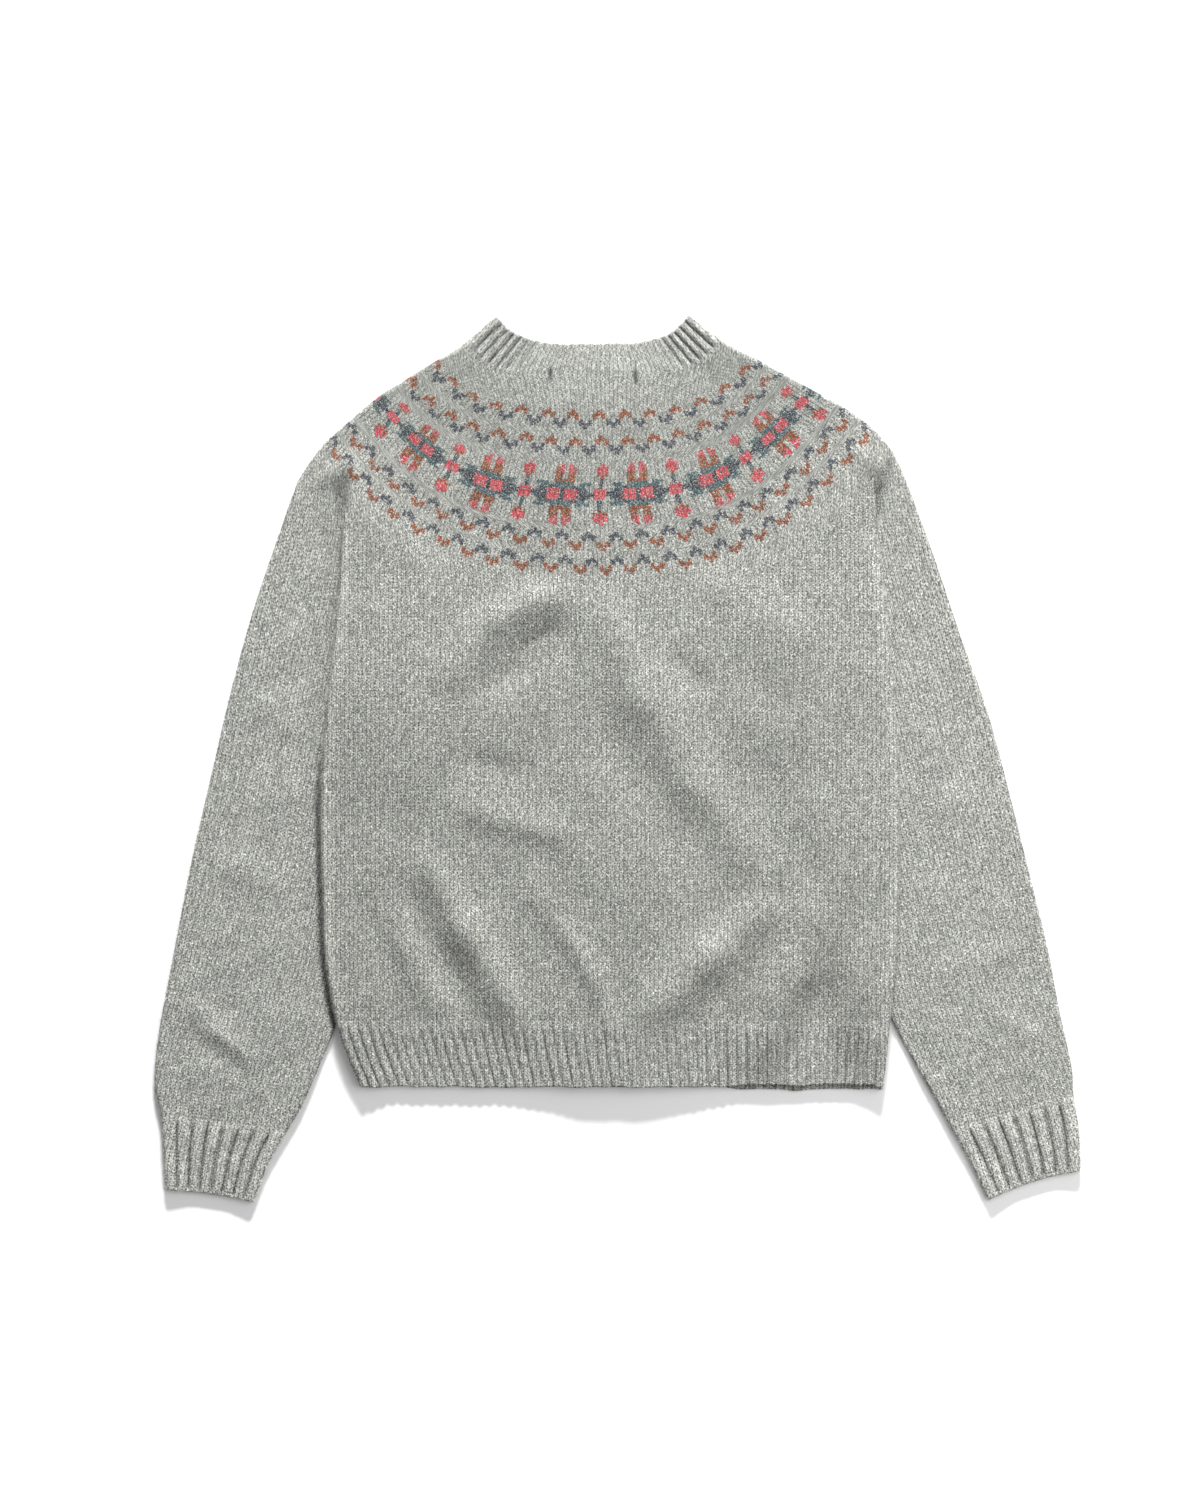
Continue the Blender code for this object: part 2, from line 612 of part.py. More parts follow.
def make_front_rib(name, right, collection):
    """The welt of one front, plain where it rests on the floor."""
    sides = (right_band_edge, right_side) if right else (left_side, left_band_edge)
    plan = strip_plan(HEM_LOW, HEM_TOP - SEAM_GAP / 2, *sides)
    span = abs(body_side(HEM_TOP, "right" if right else "left") - centre_front(HEM_TOP)) - BAND_WIDTH / 2
    rows = np.array([0.0, 1.0])
    if right:
        rows = np.append(-FRONT_HEM_DROP / (HEM_TOP - HEM_LOW), rows)
    top, bottom = drop_rows(back_face), drop_rows(front_face)
    cloth = Cloth(rows, plan, constant(span), top, bottom, constant(BODY_ROLL))
    cloth.roll = roll_at_side(cloth, right)
    portions = (0.1, 0.3, 0.5, 0.7, 0.84, 0.92, 1.0)
    wall(name, lower_half(cloth, portions, right), RIB_WOOL, collection)


def ring_span(rows):
    """Length across a ring for one unit of share, measured at each shoulder fold."""
    left, right = ring_widths(rows)
    return 6.0 * FOLD_HANDLE * left, 6.0 * FOLD_HANDLE * right


def ring_plan(front):
    return lambda rows, share: ring_point(rows, share, front)


def front_ring_column(cloth, first, last, step):
    """One column of a ring's lower layer, a step of the way from the shoulder fold to the band."""
    return cloth.bottom(first + (last - first) * step)


def ring_columns(cloth, front_cloth, shares, reliefs, steps):
    """Columns of a ring of cloth, from the left front's edge over both shoulders to the right's."""
    left_last = np.array([ring_crossing(d, left_band_edge, False, True) for d in cloth.rows])
    right_last = np.array([ring_crossing(d, right_band_edge, True, True) for d in cloth.rows])
    left_first = cloth.roll[0] / cloth.span[0]
    right_first = 1.0 - cloth.roll[1] / cloth.span[1]
    columns = [front_ring_column(front_cloth, left_first, left_last, step) for step in reversed(steps[0])]
    columns += [front_cloth.fold(False, angle) for angle in (-90.0, -45.0)]
    columns += [cloth.fold(False, angle) for angle in (0.0, 45.0, 90.0)]
    columns += [cloth.top(share, relief) for share, relief in zip(shares, reliefs)]
    columns += [cloth.fold(True, angle) for angle in (90.0, 45.0, 0.0)]
    columns += [front_cloth.fold(True, angle) for angle in (-45.0, -90.0)]
    columns += [front_ring_column(front_cloth, right_first, right_last, step) for step in steps[1]]
    return columns


def sleeve_shares(right):
    """Ring shares of the sleeve's upper columns where it meets the yoke, outside the body."""
    corner = 1.0 - RIGHT_BODY_CORNER if right else LEFT_BODY_CORNER
    last = 1.0 - RIGHT_ARMHOLE if right else LEFT_ARMHOLE
    shares = [last * portion for portion in SLEEVE_PORTIONS if last * portion < corner - 0.012]
    return shares + [corner - 0.008, corner + 0.004]


def yoke_shares():
    """Ring shares of the yoke's upper columns: they meet those of both sleeves and of the back."""
    roll = BODY_ROLL / float(across_body(np.zeros(1))[0][0])
    across = roll + (1.0 - 2.0 * roll) * np.array(BACK_PORTIONS)
    back = LEFT_BODY_CORNER + (RIGHT_BODY_CORNER - LEFT_BODY_CORNER) * across
    right = [1.0 - share for share in reversed(sleeve_shares(True))]
    return np.concatenate([sleeve_shares(False), back, right])


def front_steps(right):
    """Steps of the yoke's lower columns: they meet those of the sleeve and the front below them."""
    band = ring_crossing(YOKE_DEPTH, right_band_edge if right else left_band_edge, right, True)
    corner = RIGHT_BODY_CORNER if right else LEFT_BODY_CORNER
    shoulder = 1.0 if right else 0.0
    shares = [shoulder + (corner - shoulder) * portion for portion in (0.25, 0.5, 0.75, 1.0)]
    shares += [corner + (band - corner) * portion for portion in FRONT_PORTIONS]
    return [(share - shoulder) / (band - shoulder) for share in shares]


def sleeve_low_portions(right):
    """Portions of the sleeve's lower columns: they meet those of the yoke's front at the armhole."""
    band = ring_crossing(YOKE_DEPTH, right_band_edge if right else left_band_edge, right, True)
    last = RIGHT_ARMHOLE if right else LEFT_ARMHOLE
    shoulder = 1.0 if right else 0.0
    portions = [step * (band - shoulder) / (last - shoulder) for step in front_steps(right)]
    kept = [portion for portion in portions if portion < 0.95]
    return [1.0 - portion for portion in reversed(kept)] if right else kept


def make_yoke(collection):
    """The round yoke: one piece from the left front over the shoulders to the right front."""
    rows = np.array([0.2, 30.0, 62.0, 94.0, 124.0, 152.0, 175.0, YOKE_DEPTH - YOKE_SEAM])
    cloth = Cloth(rows, ring_plan(False), ring_span, yoke_face, front_yoke_face, constant(ARM_ROLL))
    lower = Cloth(rows, ring_plan(True), ring_span, yoke_face, front_yoke_face, constant(ARM_ROLL))
    shares = yoke_shares()
    steps = (front_steps(False), front_steps(True))
    wall("yoke", ring_columns(cloth, lower, shares, np.zeros(len(shares)), steps), YOKE_WOOL, collection)


def make_neckband(collection):
    """The ribbed neckband, folded at both sides of the neck."""
    rows = np.array([-NECKBAND_HEIGHT, -0.2])
    cloth = Cloth(rows, ring_plan(False), ring_span, yoke_face, front_yoke_face, constant(ARM_ROLL))
    lower = Cloth(rows, ring_plan(True), ring_span, yoke_face, front_yoke_face, constant(ARM_ROLL))
    portions, crests = rib_portions(205.0, NECK_RIB_PITCH)
    shares = [cloth.share_between(portion) for portion in portions]
    steps = (front_steps(False), front_steps(True))
    wall("neckband", ring_columns(cloth, lower, shares, crests * RIB_RELIEF, steps), RIB_WOOL, collection)


def sleeve_plan(sleeve, right):
    """The plan of a sleeve: sections from its outer to its inner fold that bend into the armhole ring."""
    knots = np.arange(len(sleeve["outer_x"]) + 1.0)
    last = RIGHT_ARMHOLE if right else LEFT_ARMHOLE
    first = 1.0 if right else 0.0
    ring_depth = YOKE_DEPTH + YOKE_SEAM
    end_outer = ring_point(ring_depth, first)
    end_inner = ring_point(ring_depth, last)
    column = {
        "outer_x": np.append(sleeve["outer_x"], end_outer[0]),
        "outer_y": np.append(sleeve["outer_y"], end_outer[1]),
        "inner_x": np.append(sleeve["inner_x"], end_inner[0]),
        "inner_y": np.append(sleeve["inner_y"], end_inner[1]),
    }

    def plan(rows, share):
        across = 1.0 - share if right else share
        place = {name: smooth_column(rows, knots, values) for name, values in column.items()}
        arc_x, arc_y = ring_point(ring_depth, first + (last - first) * across)
        chord_x = end_outer[0] + (end_inner[0] - end_outer[0]) * across
        chord_y = end_outer[1] + (end_inner[1] - end_outer[1]) * across
        bend = ease((rows - knots[-1] + 5.0) / 5.0)
        x = place["outer_x"] + (place["inner_x"] - place["outer_x"]) * across + bend * (arc_x - chord_x)
        y = place["outer_y"] + (place["inner_y"] - place["outer_y"]) * across + bend * (arc_y - chord_y)
        return x, y

    def span(rows):
        place = {name: smooth_column(rows, knots, values) for name, values in column.items()}
        length = np.hypot(place["outer_x"] - place["inner_x"], place["outer_y"] - place["inner_y"])
        return length, length

    def roll(rows):
        inner_y = smooth_column(rows, knots, column["inner_y"])
        hidden = ease((inner_y - 10.0) / 45.0)
        inner = ARM_ROLL + (PRESSED_ROLL - ARM_ROLL) * hidden
        outer = np.full(rows.shape, ARM_ROLL)
        return (inner, outer) if right else (outer, inner)

    return plan, span, roll, knots[-1]


def sleeve_face(sleeve, right):
    """Height of a sleeve's upper face: a soft crown with rounded folds, pressed flat under the body."""

    def face(x, y, rows):
        place = np.arange(len(sleeve["outer_x"]) + 0.0)
        outer = smooth_column(np.minimum(rows, place[-1]), place, sleeve["outer_x"])
        inner = smooth_column(np.minimum(rows, place[-1]), place, sleeve["inner_x"])
        inward = -1.0 if right else 1.0
        from_outer = inward * (x - outer)
        from_inner = inward * (inner - x)
        side = body_side(y, "right" if right else "left")
        free = ease((inward * (side - x) - 4.0) / 24.0)
        near_cuff = ease((40.0 - y) / 40.0)
        tall = 2 * ARM_ROLL - REST_HEIGHT
        outer_fold = ease(1.0 - from_outer / ROLL_FADE)
        inner_fold = ease(1.0 - from_inner / ROLL_FADE) * near_cuff
        edges = tall * np.maximum(outer_fold, inner_fold)
        air = SLEEVE_CROWN + fold_relief(x, y, SLEEVE_FOLDS)
        middle = air * ease(from_outer / 40.0) * ease(from_inner / 30.0)
        return REST_HEIGHT + free * np.maximum(edges, 0.0) + free * np.maximum(middle, 0.0)

    return face


def floor_face(x, y, rows):
    """The lower face of a sleeve rests on the floor."""
    return np.zeros(np.broadcast(x, y).shape)


def tube_columns(cloth, portions, reliefs, low_portions):
    """Columns all round a flattened tube."""
    columns = [cloth.fold(False, angle) for angle in (-90.0, -45.0, 0.0, 45.0, 90.0)]
    columns += [cloth.top(cloth.share_between(p), relief) for p, relief in zip(portions, reliefs)]
    columns += [cloth.fold(True, angle) for angle in (90.0, 45.0, 0.0, -45.0, -90.0)]
    columns += [cloth.bottom(cloth.share_between(p)) for p in reversed(low_portions)]
    return columns


def make_sleeve(name, sleeve, right, collection):
    """A sleeve: a flattened tube from the cuff to the armhole, its inner part under the body."""
    plan, span, roll, last = sleeve_plan(sleeve, right)
    gap_row = CUFF_ROW + 0.013
    rows = np.concatenate([[gap_row], np.arange(CUFF_ROW + 1.0, last), [last - 0.5, last]])
    rows = np.sort(rows)
    cloth = Cloth(rows, plan, span, sleeve_face(sleeve, right), floor_face, roll)
    portions = [1.0 - p for p in reversed(SLEEVE_PORTIONS)] if right else SLEEVE_PORTIONS
    columns = tube_columns(cloth, portions, np.zeros(len(portions)), sleeve_low_portions(right))
    wall(name, columns, GREY_WOOL, collection)


def make_cuff(name, sleeve, right, collection):
    """A ribbed cuff: ribs on the upper layer, and plain where it rests on the floor."""
    plan, span, roll, last = sleeve_plan(sleeve, right)
    rows = np.array([0.0, 1.0, CUFF_ROW])
    cloth = Cloth(rows, plan, span, sleeve_face(sleeve, right), floor_face, roll)
    portions, crests = rib_portions(cloth.span[0].mean(), CUFF_RIB_PITCH)
    low_portions = np.linspace(0.0, 1.0, 5)[1:-1]
    wall(name, tube_columns(cloth, portions, crests * RIB_RELIEF, low_portions), RIB_WOOL, collection)


def band_column(rows, offset, level):
    """One column of a front band: an edge that follows the opening's middle line."""
    x = centre_front(rows) + offset
    low = np.stack([x, rows, np.full(rows.shape, level)], axis=-1)
    high = np.stack([x, rows, np.full(rows.shape, level + CLOTH)], axis=-1)
    return low, high


def make_band(name, level, collection):
    """A straight band down the front opening."""
    rows = np.linspace(HEM_LOW, BAND_TOP, 10)
    offsets = (-BAND_WIDTH / 2, 0.0, BAND_WIDTH / 2)
    return wall(name, [band_column(rows, offset, level) for offset in offsets], RIB_WOOL, collection)


def cut(target, cutter):
    """Takes a cutter's shape out of an object, for good."""
    modifier = target.modifiers.new("cut", "BOOLEAN")
    modifier.operation = "DIFFERENCE"
    modifier.solver = "EXACT"
    modifier.object = cutter
    shape = bpy.data.meshes.new_from_object(target.evaluated_get(bpy.context.evaluated_depsgraph_get()))
    target.modifiers.clear()
    target.data = shape
    bpy.data.objects.remove(cutter)


def button_places():
    """Plan points of the buttons, evenly spaced up the opening's middle line."""
    heights = [BUTTON_FIRST + BUTTON_PITCH * i for i in range(BUTTON_COUNT)]
    return [(centre_front(y) + FRAME_SHIFT[0], y + FRAME_SHIFT[1]) for y in heights]


def cut_buttonholes(band, cutters):
    """A slit across the band at each button."""
    shape = bmesh.new()
    for x, y in button_places():
        made = bmesh.ops.create_cube(shape, size=1.0)["verts"]
        size = (BUTTONHOLE_LENGTH * MM, BUTTONHOLE_WIDTH * MM, 4 * CLOTH * MM)
        bmesh.ops.scale(shape, vec=size, verts=made)
        bmesh.ops.translate(shape, vec=(x * MM, y * MM, BUTTONHOLE_BAND_LEVEL * MM), verts=made)
    mesh = bpy.data.meshes.new("buttonhole_cutter")
    shape.to_mesh(mesh)
    shape.free()
    cutter = bpy.data.objects.new("buttonhole_cutter", mesh)
    cutters.objects.link(cutter)
    cut(band, cutter)


def button_mesh():
    """A four-hole button, face down: a turned profile with a raised rim round its face."""
    rim = BUTTON_RADIUS
    profile = [
        (0.0, BUTTON_THICKNESS),
        (rim * 0.86, BUTTON_THICKNESS),
        (rim, BUTTON_THICKNESS * 0.6),
        (rim * 0.94, 0.0),
        (rim * 0.74, 0.0),
        (rim * 0.64, BUTTON_THICKNESS * 0.25),
        (0.0, BUTTON_THICKNESS * 0.25),
    ]
    line = bpy.data.meshes.new("button_profile")
    points = [(x * MM, 0.0, z * MM) for x, z in profile]
    line.from_pydata(points, [(i, i + 1) for i in range(len(points) - 1)], [])
    turned = bpy.data.objects.new("button_profile", line)
    bpy.context.scene.collection.objects.link(turned)
    screw = turned.modifiers.new("turn", "SCREW")
    screw.steps = 10
    screw.render_steps = 10
    screw.use_merge_vertices = True
    screw.merge_threshold = 0.00001
    screw.use_normal_calculate = True
    bpy.context.view_layer.update()
    mesh = bpy.data.meshes.new_from_object(turned.evaluated_get(bpy.context.evaluated_depsgraph_get()))
    bpy.data.objects.remove(turned)
    shape = bmesh.new()
    shape.from_mesh(mesh)
    bmesh.ops.remove_doubles(shape, verts=shape.verts, dist=0.00001)
    bmesh.ops.recalc_face_normals(shape, faces=shape.faces)
    shape.to_mesh(mesh)
    shape.free()
    return mesh


def hole_cutter(cutters):
    """Four small cylinders, one for each hole of a button."""
    shape = bmesh.new()
    for side_x in (-HOLE_OFFSET, HOLE_OFFSET):
        for side_y in (-HOLE_OFFSET, HOLE_OFFSET):
            radius = HOLE_RADIUS * MM
            made = bmesh.ops.create_cone(
                shape, cap_ends=True, segments=5, radius1=radius, radius2=radius, depth=6 * MM
            )["verts"]
            bmesh.ops.translate(shape, vec=(side_x * MM, side_y * MM, 0.0), verts=made)
    mesh = bpy.data.meshes.new("hole_cutter")
    shape.to_mesh(mesh)
    shape.free()
    cutter = bpy.data.objects.new("hole_cutter", mesh)
    cutters.objects.link(cutter)
    return cutter


def make_buttons(collection, cutters):
    """The buttons, under the buttonhole band where the cardigan rests on them."""
    first = add_object("button_1", button_mesh(), HORN, collection, 0.35)
    bpy.context.view_layer.update()
    cut(first, hole_cutter(cutters))
    first.data.shade_smooth()
    first.data.set_sharp_from_angle(angle=math.radians(35))
    for number, (x, y) in enumerate(button_places(), start=1):
        button = first
        if number > 1:
            button = bpy.data.objects.new(f"button_{number}", first.data)
            collection.objects.link(button)
        button.location = (x * MM, y * MM, 0.0)


def make_cardigan():
    """Builds every piece of the cardigan as its own object."""
    for old in list(bpy.data.objects):
        bpy.data.objects.remove(old)
    collection = bpy.data.collections.new("fair_isle_cardigan")
    cutters = bpy.data.collections.new("cutters")
    bpy.context.scene.collection.children.link(collection)
    bpy.context.scene.collection.children.link(cutters)
    make_back(collection)
    make_back_rib(collection)
    for name, right in (("front_left", False), ("front_right", True)):
        make_front(name, right, collection)
        make_front_rib(name + "_rib", right, collection)
    make_yoke(collection)
    make_neckband(collection)
    for name, sleeve, right in (("left", LEFT_SLEEVE, False), ("right", RIGHT_SLEEVE, True)):
        make_sleeve("sleeve_" + name, sleeve, right, collection)
        make_cuff("cuff_" + name, sleeve, right, collection)
    make_band("button_band", BUTTON_BAND_LEVEL, collection)
    holes = make_band("buttonhole_band", BUTTONHOLE_BAND_LEVEL, collection)
    bpy.context.view_layer.update()
    cut_buttonholes(holes, cutters)
    make_buttons(collection, cutters)


make_cardigan()
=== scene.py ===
"""Looks for a fair isle yoke cardigan that lies face down on a pale floor, seen from straight above.

Plan sizes are millimetres on a table whose x runs from the body's middle line and whose y runs up from
the hem, as in the part's source. Meshes are made in metres in the part's own frame.
"""

import json
import math

import bpy
import numpy as np
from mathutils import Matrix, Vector

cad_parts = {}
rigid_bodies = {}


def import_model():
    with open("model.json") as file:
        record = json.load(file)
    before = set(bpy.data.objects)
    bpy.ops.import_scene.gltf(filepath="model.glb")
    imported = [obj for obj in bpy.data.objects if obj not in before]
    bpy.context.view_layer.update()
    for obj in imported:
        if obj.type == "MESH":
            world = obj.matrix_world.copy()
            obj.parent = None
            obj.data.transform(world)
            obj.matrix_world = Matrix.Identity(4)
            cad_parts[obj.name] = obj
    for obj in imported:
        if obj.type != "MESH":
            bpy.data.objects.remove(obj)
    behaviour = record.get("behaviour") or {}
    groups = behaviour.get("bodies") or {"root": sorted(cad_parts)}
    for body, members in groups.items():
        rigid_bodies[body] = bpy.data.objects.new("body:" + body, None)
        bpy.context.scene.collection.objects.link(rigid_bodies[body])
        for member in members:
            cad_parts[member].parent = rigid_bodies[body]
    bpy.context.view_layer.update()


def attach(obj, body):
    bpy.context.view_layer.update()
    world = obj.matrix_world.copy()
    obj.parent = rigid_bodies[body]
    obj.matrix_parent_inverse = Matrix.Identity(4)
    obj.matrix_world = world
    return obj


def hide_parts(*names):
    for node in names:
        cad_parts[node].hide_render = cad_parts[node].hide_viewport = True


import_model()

bl_info = {
    "name": "Fair Isle Cardigan",
    "version": (1, 0, 0),
    "blender": (4, 5, 0),
    "location": "View3D > Sidebar > Cardigan",
    "description": "Makes the pieces and the stage of a cardigan laid flat",
    "category": "Object",
}

MM = 0.001
FRAME_SHIFT = (-11.4, -273.9)

# The cloth, its rounded folds and its stacked layers
CLOTH = 2.0
SEAM_GAP = 0.3
REST_HEIGHT = 2 * CLOTH + SEAM_GAP
BODY_ROLL = 3.5
ARM_ROLL = 3.0
PRESSED_ROLL = 2.15
ROLL_FADE = 26.0
BUTTON_THICKNESS = 2.2
BUTTONHOLE_BAND_LEVEL = BUTTON_THICKNESS + SEAM_GAP
BUTTON_BAND_LEVEL = BUTTONHOLE_BAND_LEVEL + CLOTH + SEAM_GAP
SLEEVE_STACK = REST_HEIGHT + 0.4
STACK_MARGIN = 5.0
STACK_RAMP = 64.0
STACK_RAMP_AT_ARMHOLE = 6.0
BAND_RAMP = 90.0
LEFT_FRONT_RAMP = 32.0
RIGHT_FRONT_RAMP = 24.0
CREASE_WIDTH = 9.0
CREASE_FADE = 62.0
PUFF = 2.4
LEAST_AIR = 0.5
SLEEVE_CROWN = 1.3

# The hem, the yoke and the front opening
HEM_LOW = -1.5
HEM_TOP = 54.6
FRONT_HEM_DROP = 2.2
YOKE_DEPTH = 195.7
NECKBAND_HEIGHT = 24.4
FRONT_NECK_DROP = 45.0
UNDERARM_GRAFT = 46.0
BAND_WIDTH = 30.0
CENTRE_AT_HEM = 14.0
CENTRE_LEAN = -0.038
BAND_TOP = 575.0
BUTTON_COUNT = 8
BUTTON_RADIUS = 7.0
BUTTON_FIRST = 12.0
BUTTON_PITCH = 78.4
HOLE_OFFSET = 1.7
HOLE_RADIUS = 0.9
BUTTONHOLE_LENGTH = 15.5
BUTTONHOLE_WIDTH = 1.4
THREAD_RADIUS = 0.42

# Loose fibres: the length range of one of their two steps, and half their width
FIBRE_STEP = (0.5, 1.25)
FIBRE_HALF_WIDTH = 0.06
LOWEST_FIBRE = 0.2

# The stage, in metres
FLOOR_HALF = 30.0
FLOOR_DROP = 0.0002
KEY_PLACE, KEY_SIZE = (0.1, 4.4, 1.55), (1.0, 0.4)
TOP_PLACE, TOP_SIZE = (1.1, 0.1, 1.2), (1.6, 1.6)
VIEW_CENTRE = (-0.01476, 0.0075)
SENSOR_WIDTH = 36.0

# Shape of a yoke ring: its handles as shares of its half width
RING_LEAN = math.radians(52.0)
FOLD_HANDLE = 0.36
LOW_HANDLE = 0.565

# Knitting: widths of a stitch and heights of a row
WALE = 3.65
COURSE = 2.68
HEM_RIBS = 54
CUFF_RIBS = 8
NECK_RIBS = 46
RIB_RELIEF = 1.7
RIB_MEAN = 0.76


def table(names, *rows):
    """A table with named columns: a dictionary of arrays."""
    return dict(zip(names.split(), np.array(rows, float).T))


BODY_SIDES = table(
    "height left right",
    (-5.0, -204.0, 234.2),
    (-1.5, -205.0, 234.4),
    (21.0, -214.2, 236.9),
    (54.6, -225.1, 240.2),
    (96.6, -232.7, 244.4),
    (155.4, -236.0, 247.0),
    (239.4, -237.3, 247.8),
    (323.4, -231.8, 243.6),
    (407.4, -223.0, 235.2),
    (466.2, -219.2, 229.3),
    (500.0, -218.0, 226.5),
)

YOKE_RINGS = table(
    "depth left_x left_y right_x right_y low_x low_y",
    (-24.4, -89.9, 646.0, 71.1, 646.2, -3.4, 622.4),
    (0.0, -119.3, 621.2, 100.8, 624.1, -5.0, 598.1),
    (38.6, -145.0, 606.0, 128.5, 609.5, -3.4, 559.4),
    (61.3, -166.5, 592.5, 145.5, 600.0, -1.7, 536.8),
    (105.0, -191.5, 576.2, 176.4, 583.0, -3.4, 493.1),
    (144.5, -219.2, 552.7, 208.3, 564.5, -0.8, 453.6),
    (165.5, -233.5, 540.1, 225.1, 551.9, 0.0, 432.6),
    (195.7, -248.6, 520.8, 242.8, 531.7, 0.0, 402.4),
)

LEFT_SLEEVE = table(
    "outer_x outer_y inner_x inner_y",
    (-367.9, -88.2, -294.0, -98.3),
    (-370.0, -54.0, -281.0, -65.0),
    (-372.1, -24.4, -265.4, -37.8),
    (-377.2, 0.0, -252.8, -16.0),
    (-374.6, 37.8, -236.9, 21.0),
    (-368.8, 71.4, -225.1, 50.4),
    (-358.7, 123.5, -211.7, 93.2),
    (-346.1, 189.0, -196.6, 152.9),
    (-331.0, 254.5, -184.0, 210.0),
    (-315.0, 323.4, -177.2, 266.3),
    (-299.0, 383.9, -173.0, 313.3),
    (-283.9, 430.9, -169.7, 346.9),
    (-268.8, 474.6, -169.7, 380.5),
    (-257.9, 504.8, -170.0, 412.0),
)

RIGHT_SLEEVE = table(
    "outer_x outer_y inner_x inner_y",
    (399.8, -72.2, 322.6, -96.6),
    (399.0, -40.0, 305.0, -60.5),
    (394.0, -6.7, 291.5, -37.0),
    (393.1, 12.6, 278.0, -11.8),
    (388.9, 33.6, 261.2, 17.6),
    (381.4, 67.2, 240.2, 58.0),
    (373.0, 113.4, 226.8, 92.4),
    (358.7, 172.2, 213.4, 152.9),
    (341.0, 243.6, 199.9, 210.0),
    (321.7, 315.0, 191.5, 264.6),
    (300.7, 373.8, 184.8, 313.3),
    (280.6, 434.3, 180.6, 350.3),
    (264.6, 478.8, 179.8, 386.4),
    (252.8, 509.9, 181.0, 420.0),
)
CUFF_ROW = 2.0

# Soft folds on the back: ridges rise and troughs sink
BACK_FOLDS = table(
    "x0 y0 x1 y1 half_width rise",
    (-129.4, 345.2, -95.8, 387.2, 16.8, 4.0),
    (-89.0, 392.3, -45.4, 410.8, 16.0, 5.2),
    (-37.0, 410.8, 5.0, 397.3, 16.8, 1.6),
    (-92.4, 336.8, -42.0, 367.1, 11.8, -2.6),
    (-68.9, 363.7, -38.6, 378.8, 8.4, -2.6),
    (5.0, 380.5, 35.3, 326.8, 21.0, 3.2),
    (30.2, 326.8, 82.3, 242.8, 21.0, 4.2),
    (80.6, 247.8, 127.7, 180.6, 20.2, 3.8),
    (8.4, 298.2, 60.5, 207.5, 18.5, -1.6),
    (58.8, 357.0, 82.3, 335.2, 11.8, -2.8),
    (92.4, 420.8, 151.2, 370.4, 25.2, 3.0),
    (114.2, 323.4, 156.2, 281.4, 21.8, 1.6),
    (161.3, 207.5, 169.7, 178.9, 11.8, -1.8),
    (-114.2, 271.3, -67.2, 262.9, 11.8, -1.8),
    (-112.6, 231.0, -40.3, 210.0, 13.4, 2.8),
    (-149.5, 189.0, -114.2, 123.5, 15.1, 4.8),
    (-115.9, 130.2, -75.6, 56.3, 16.8, 6.4),
    (-159.6, 148.7, -121.0, 73.1, 12.6, -2.4),
    (-183.1, 150.4, -137.8, 59.6, 15.1, 2.6),
    (-203.3, 155.4, -176.4, 94.9, 11.8, -1.8),
    (-60.5, 162.1, -28.6, 121.8, 10.1, 1.7),
    (-30.2, 125.2, -6.7, 86.5, 9.2, 2.4),
    (-6.7, 88.2, 3.4, 46.2, 8.4, 2.8),
    (132.7, 145.3, 89.0, 105.0, 17.6, 4.8),
    (90.7, 108.4, 47.0, 61.3, 19.3, 5.8),
    (30.2, 121.8, 13.4, 71.4, 13.4, -1.4),
    (176.4, 145.3, 159.6, 94.9, 15.1, 4.8),
    (157.9, 91.6, 136.1, 21.0, 16.0, 8.0),
    (184.8, 79.8, 163.0, 16.8, 12.6, -4.6),
    (223.4, 121.8, 203.3, 37.8, 16.8, 3.8),
    (47.0, 340.2, 223.4, 348.6, 70.6, 3.2),
    (-213.4, 323.4, -137.8, 310.8, 88.2, 4.8),
    (-45.4, 197.4, 30.2, 197.4, 42.0, 1.6),
    (156.2, 184.8, 257.0, 193.2, 75.6, 3.4),
)

SLEEVE_FOLDS = table(
    "x0 y0 x1 y1 half_width rise",
    (-357.0, 72.0, -304.0, 26.0, 9.0, 2.0),
    (-342.0, 36.0, -306.0, 14.0, 9.0, -1.0),
    (352.0, 120.0, 296.0, 96.0, 10.0, 1.3),
    (330.0, 58.0, 372.0, 34.0, 9.0, 1.3),
    (-330.0, 190.0, -276.0, 170.0, 11.0, 1.2),
    (-300.0, 330.0, -262.0, 300.0, 12.0, 1.2),
    (318.0, 250.0, 272.0, 232.0, 12.0, 1.2),
)

# Ridges of the shoulders just above the armhole creases
SHOULDER_FOLDS = table(
    "x0 y0 x1 y1 half_width rise",
    (-240.0, 508.0, -218.0, 521.0, 12.0, 4.2),
    (246.0, 514.0, 222.0, 531.0, 12.0, 4.6),
)

# Dents where a label is tacked inside the back of the neck, which shade() also darkens with painted shade
LABEL_TACKS = table(
    "x0 y0 x1 y1 half_width rise",
    (-45.4, 600.5, -45.0, 591.5, 1.7, -1.1),
    (26.0, 598.0, 26.6, 589.0, 1.7, -1.1),
    (-44.0, 601.5, 25.0, 599.0, 2.2, -0.1),
)

# Shade in the creases beside the armholes: the last column is its depth
ARMHOLE_SHADE = table(
    "x0 y0 x1 y1 half_width rise",
    (-230.0, 514.0, -222.0, 499.0, 5.5, 0.35),
    (-221.5, 497.0, -221.5, 478.0, 5.0, 0.62),
    (241.0, 527.0, 231.0, 504.0, 5.5, 0.5),
    (229.5, 502.0, 227.5, 482.0, 5.5, 0.8),
    (228.0, 476.0, 229.5, 447.0, 3.0, 0.2),
)
CUFF_BOW = (1.7, 3.2)

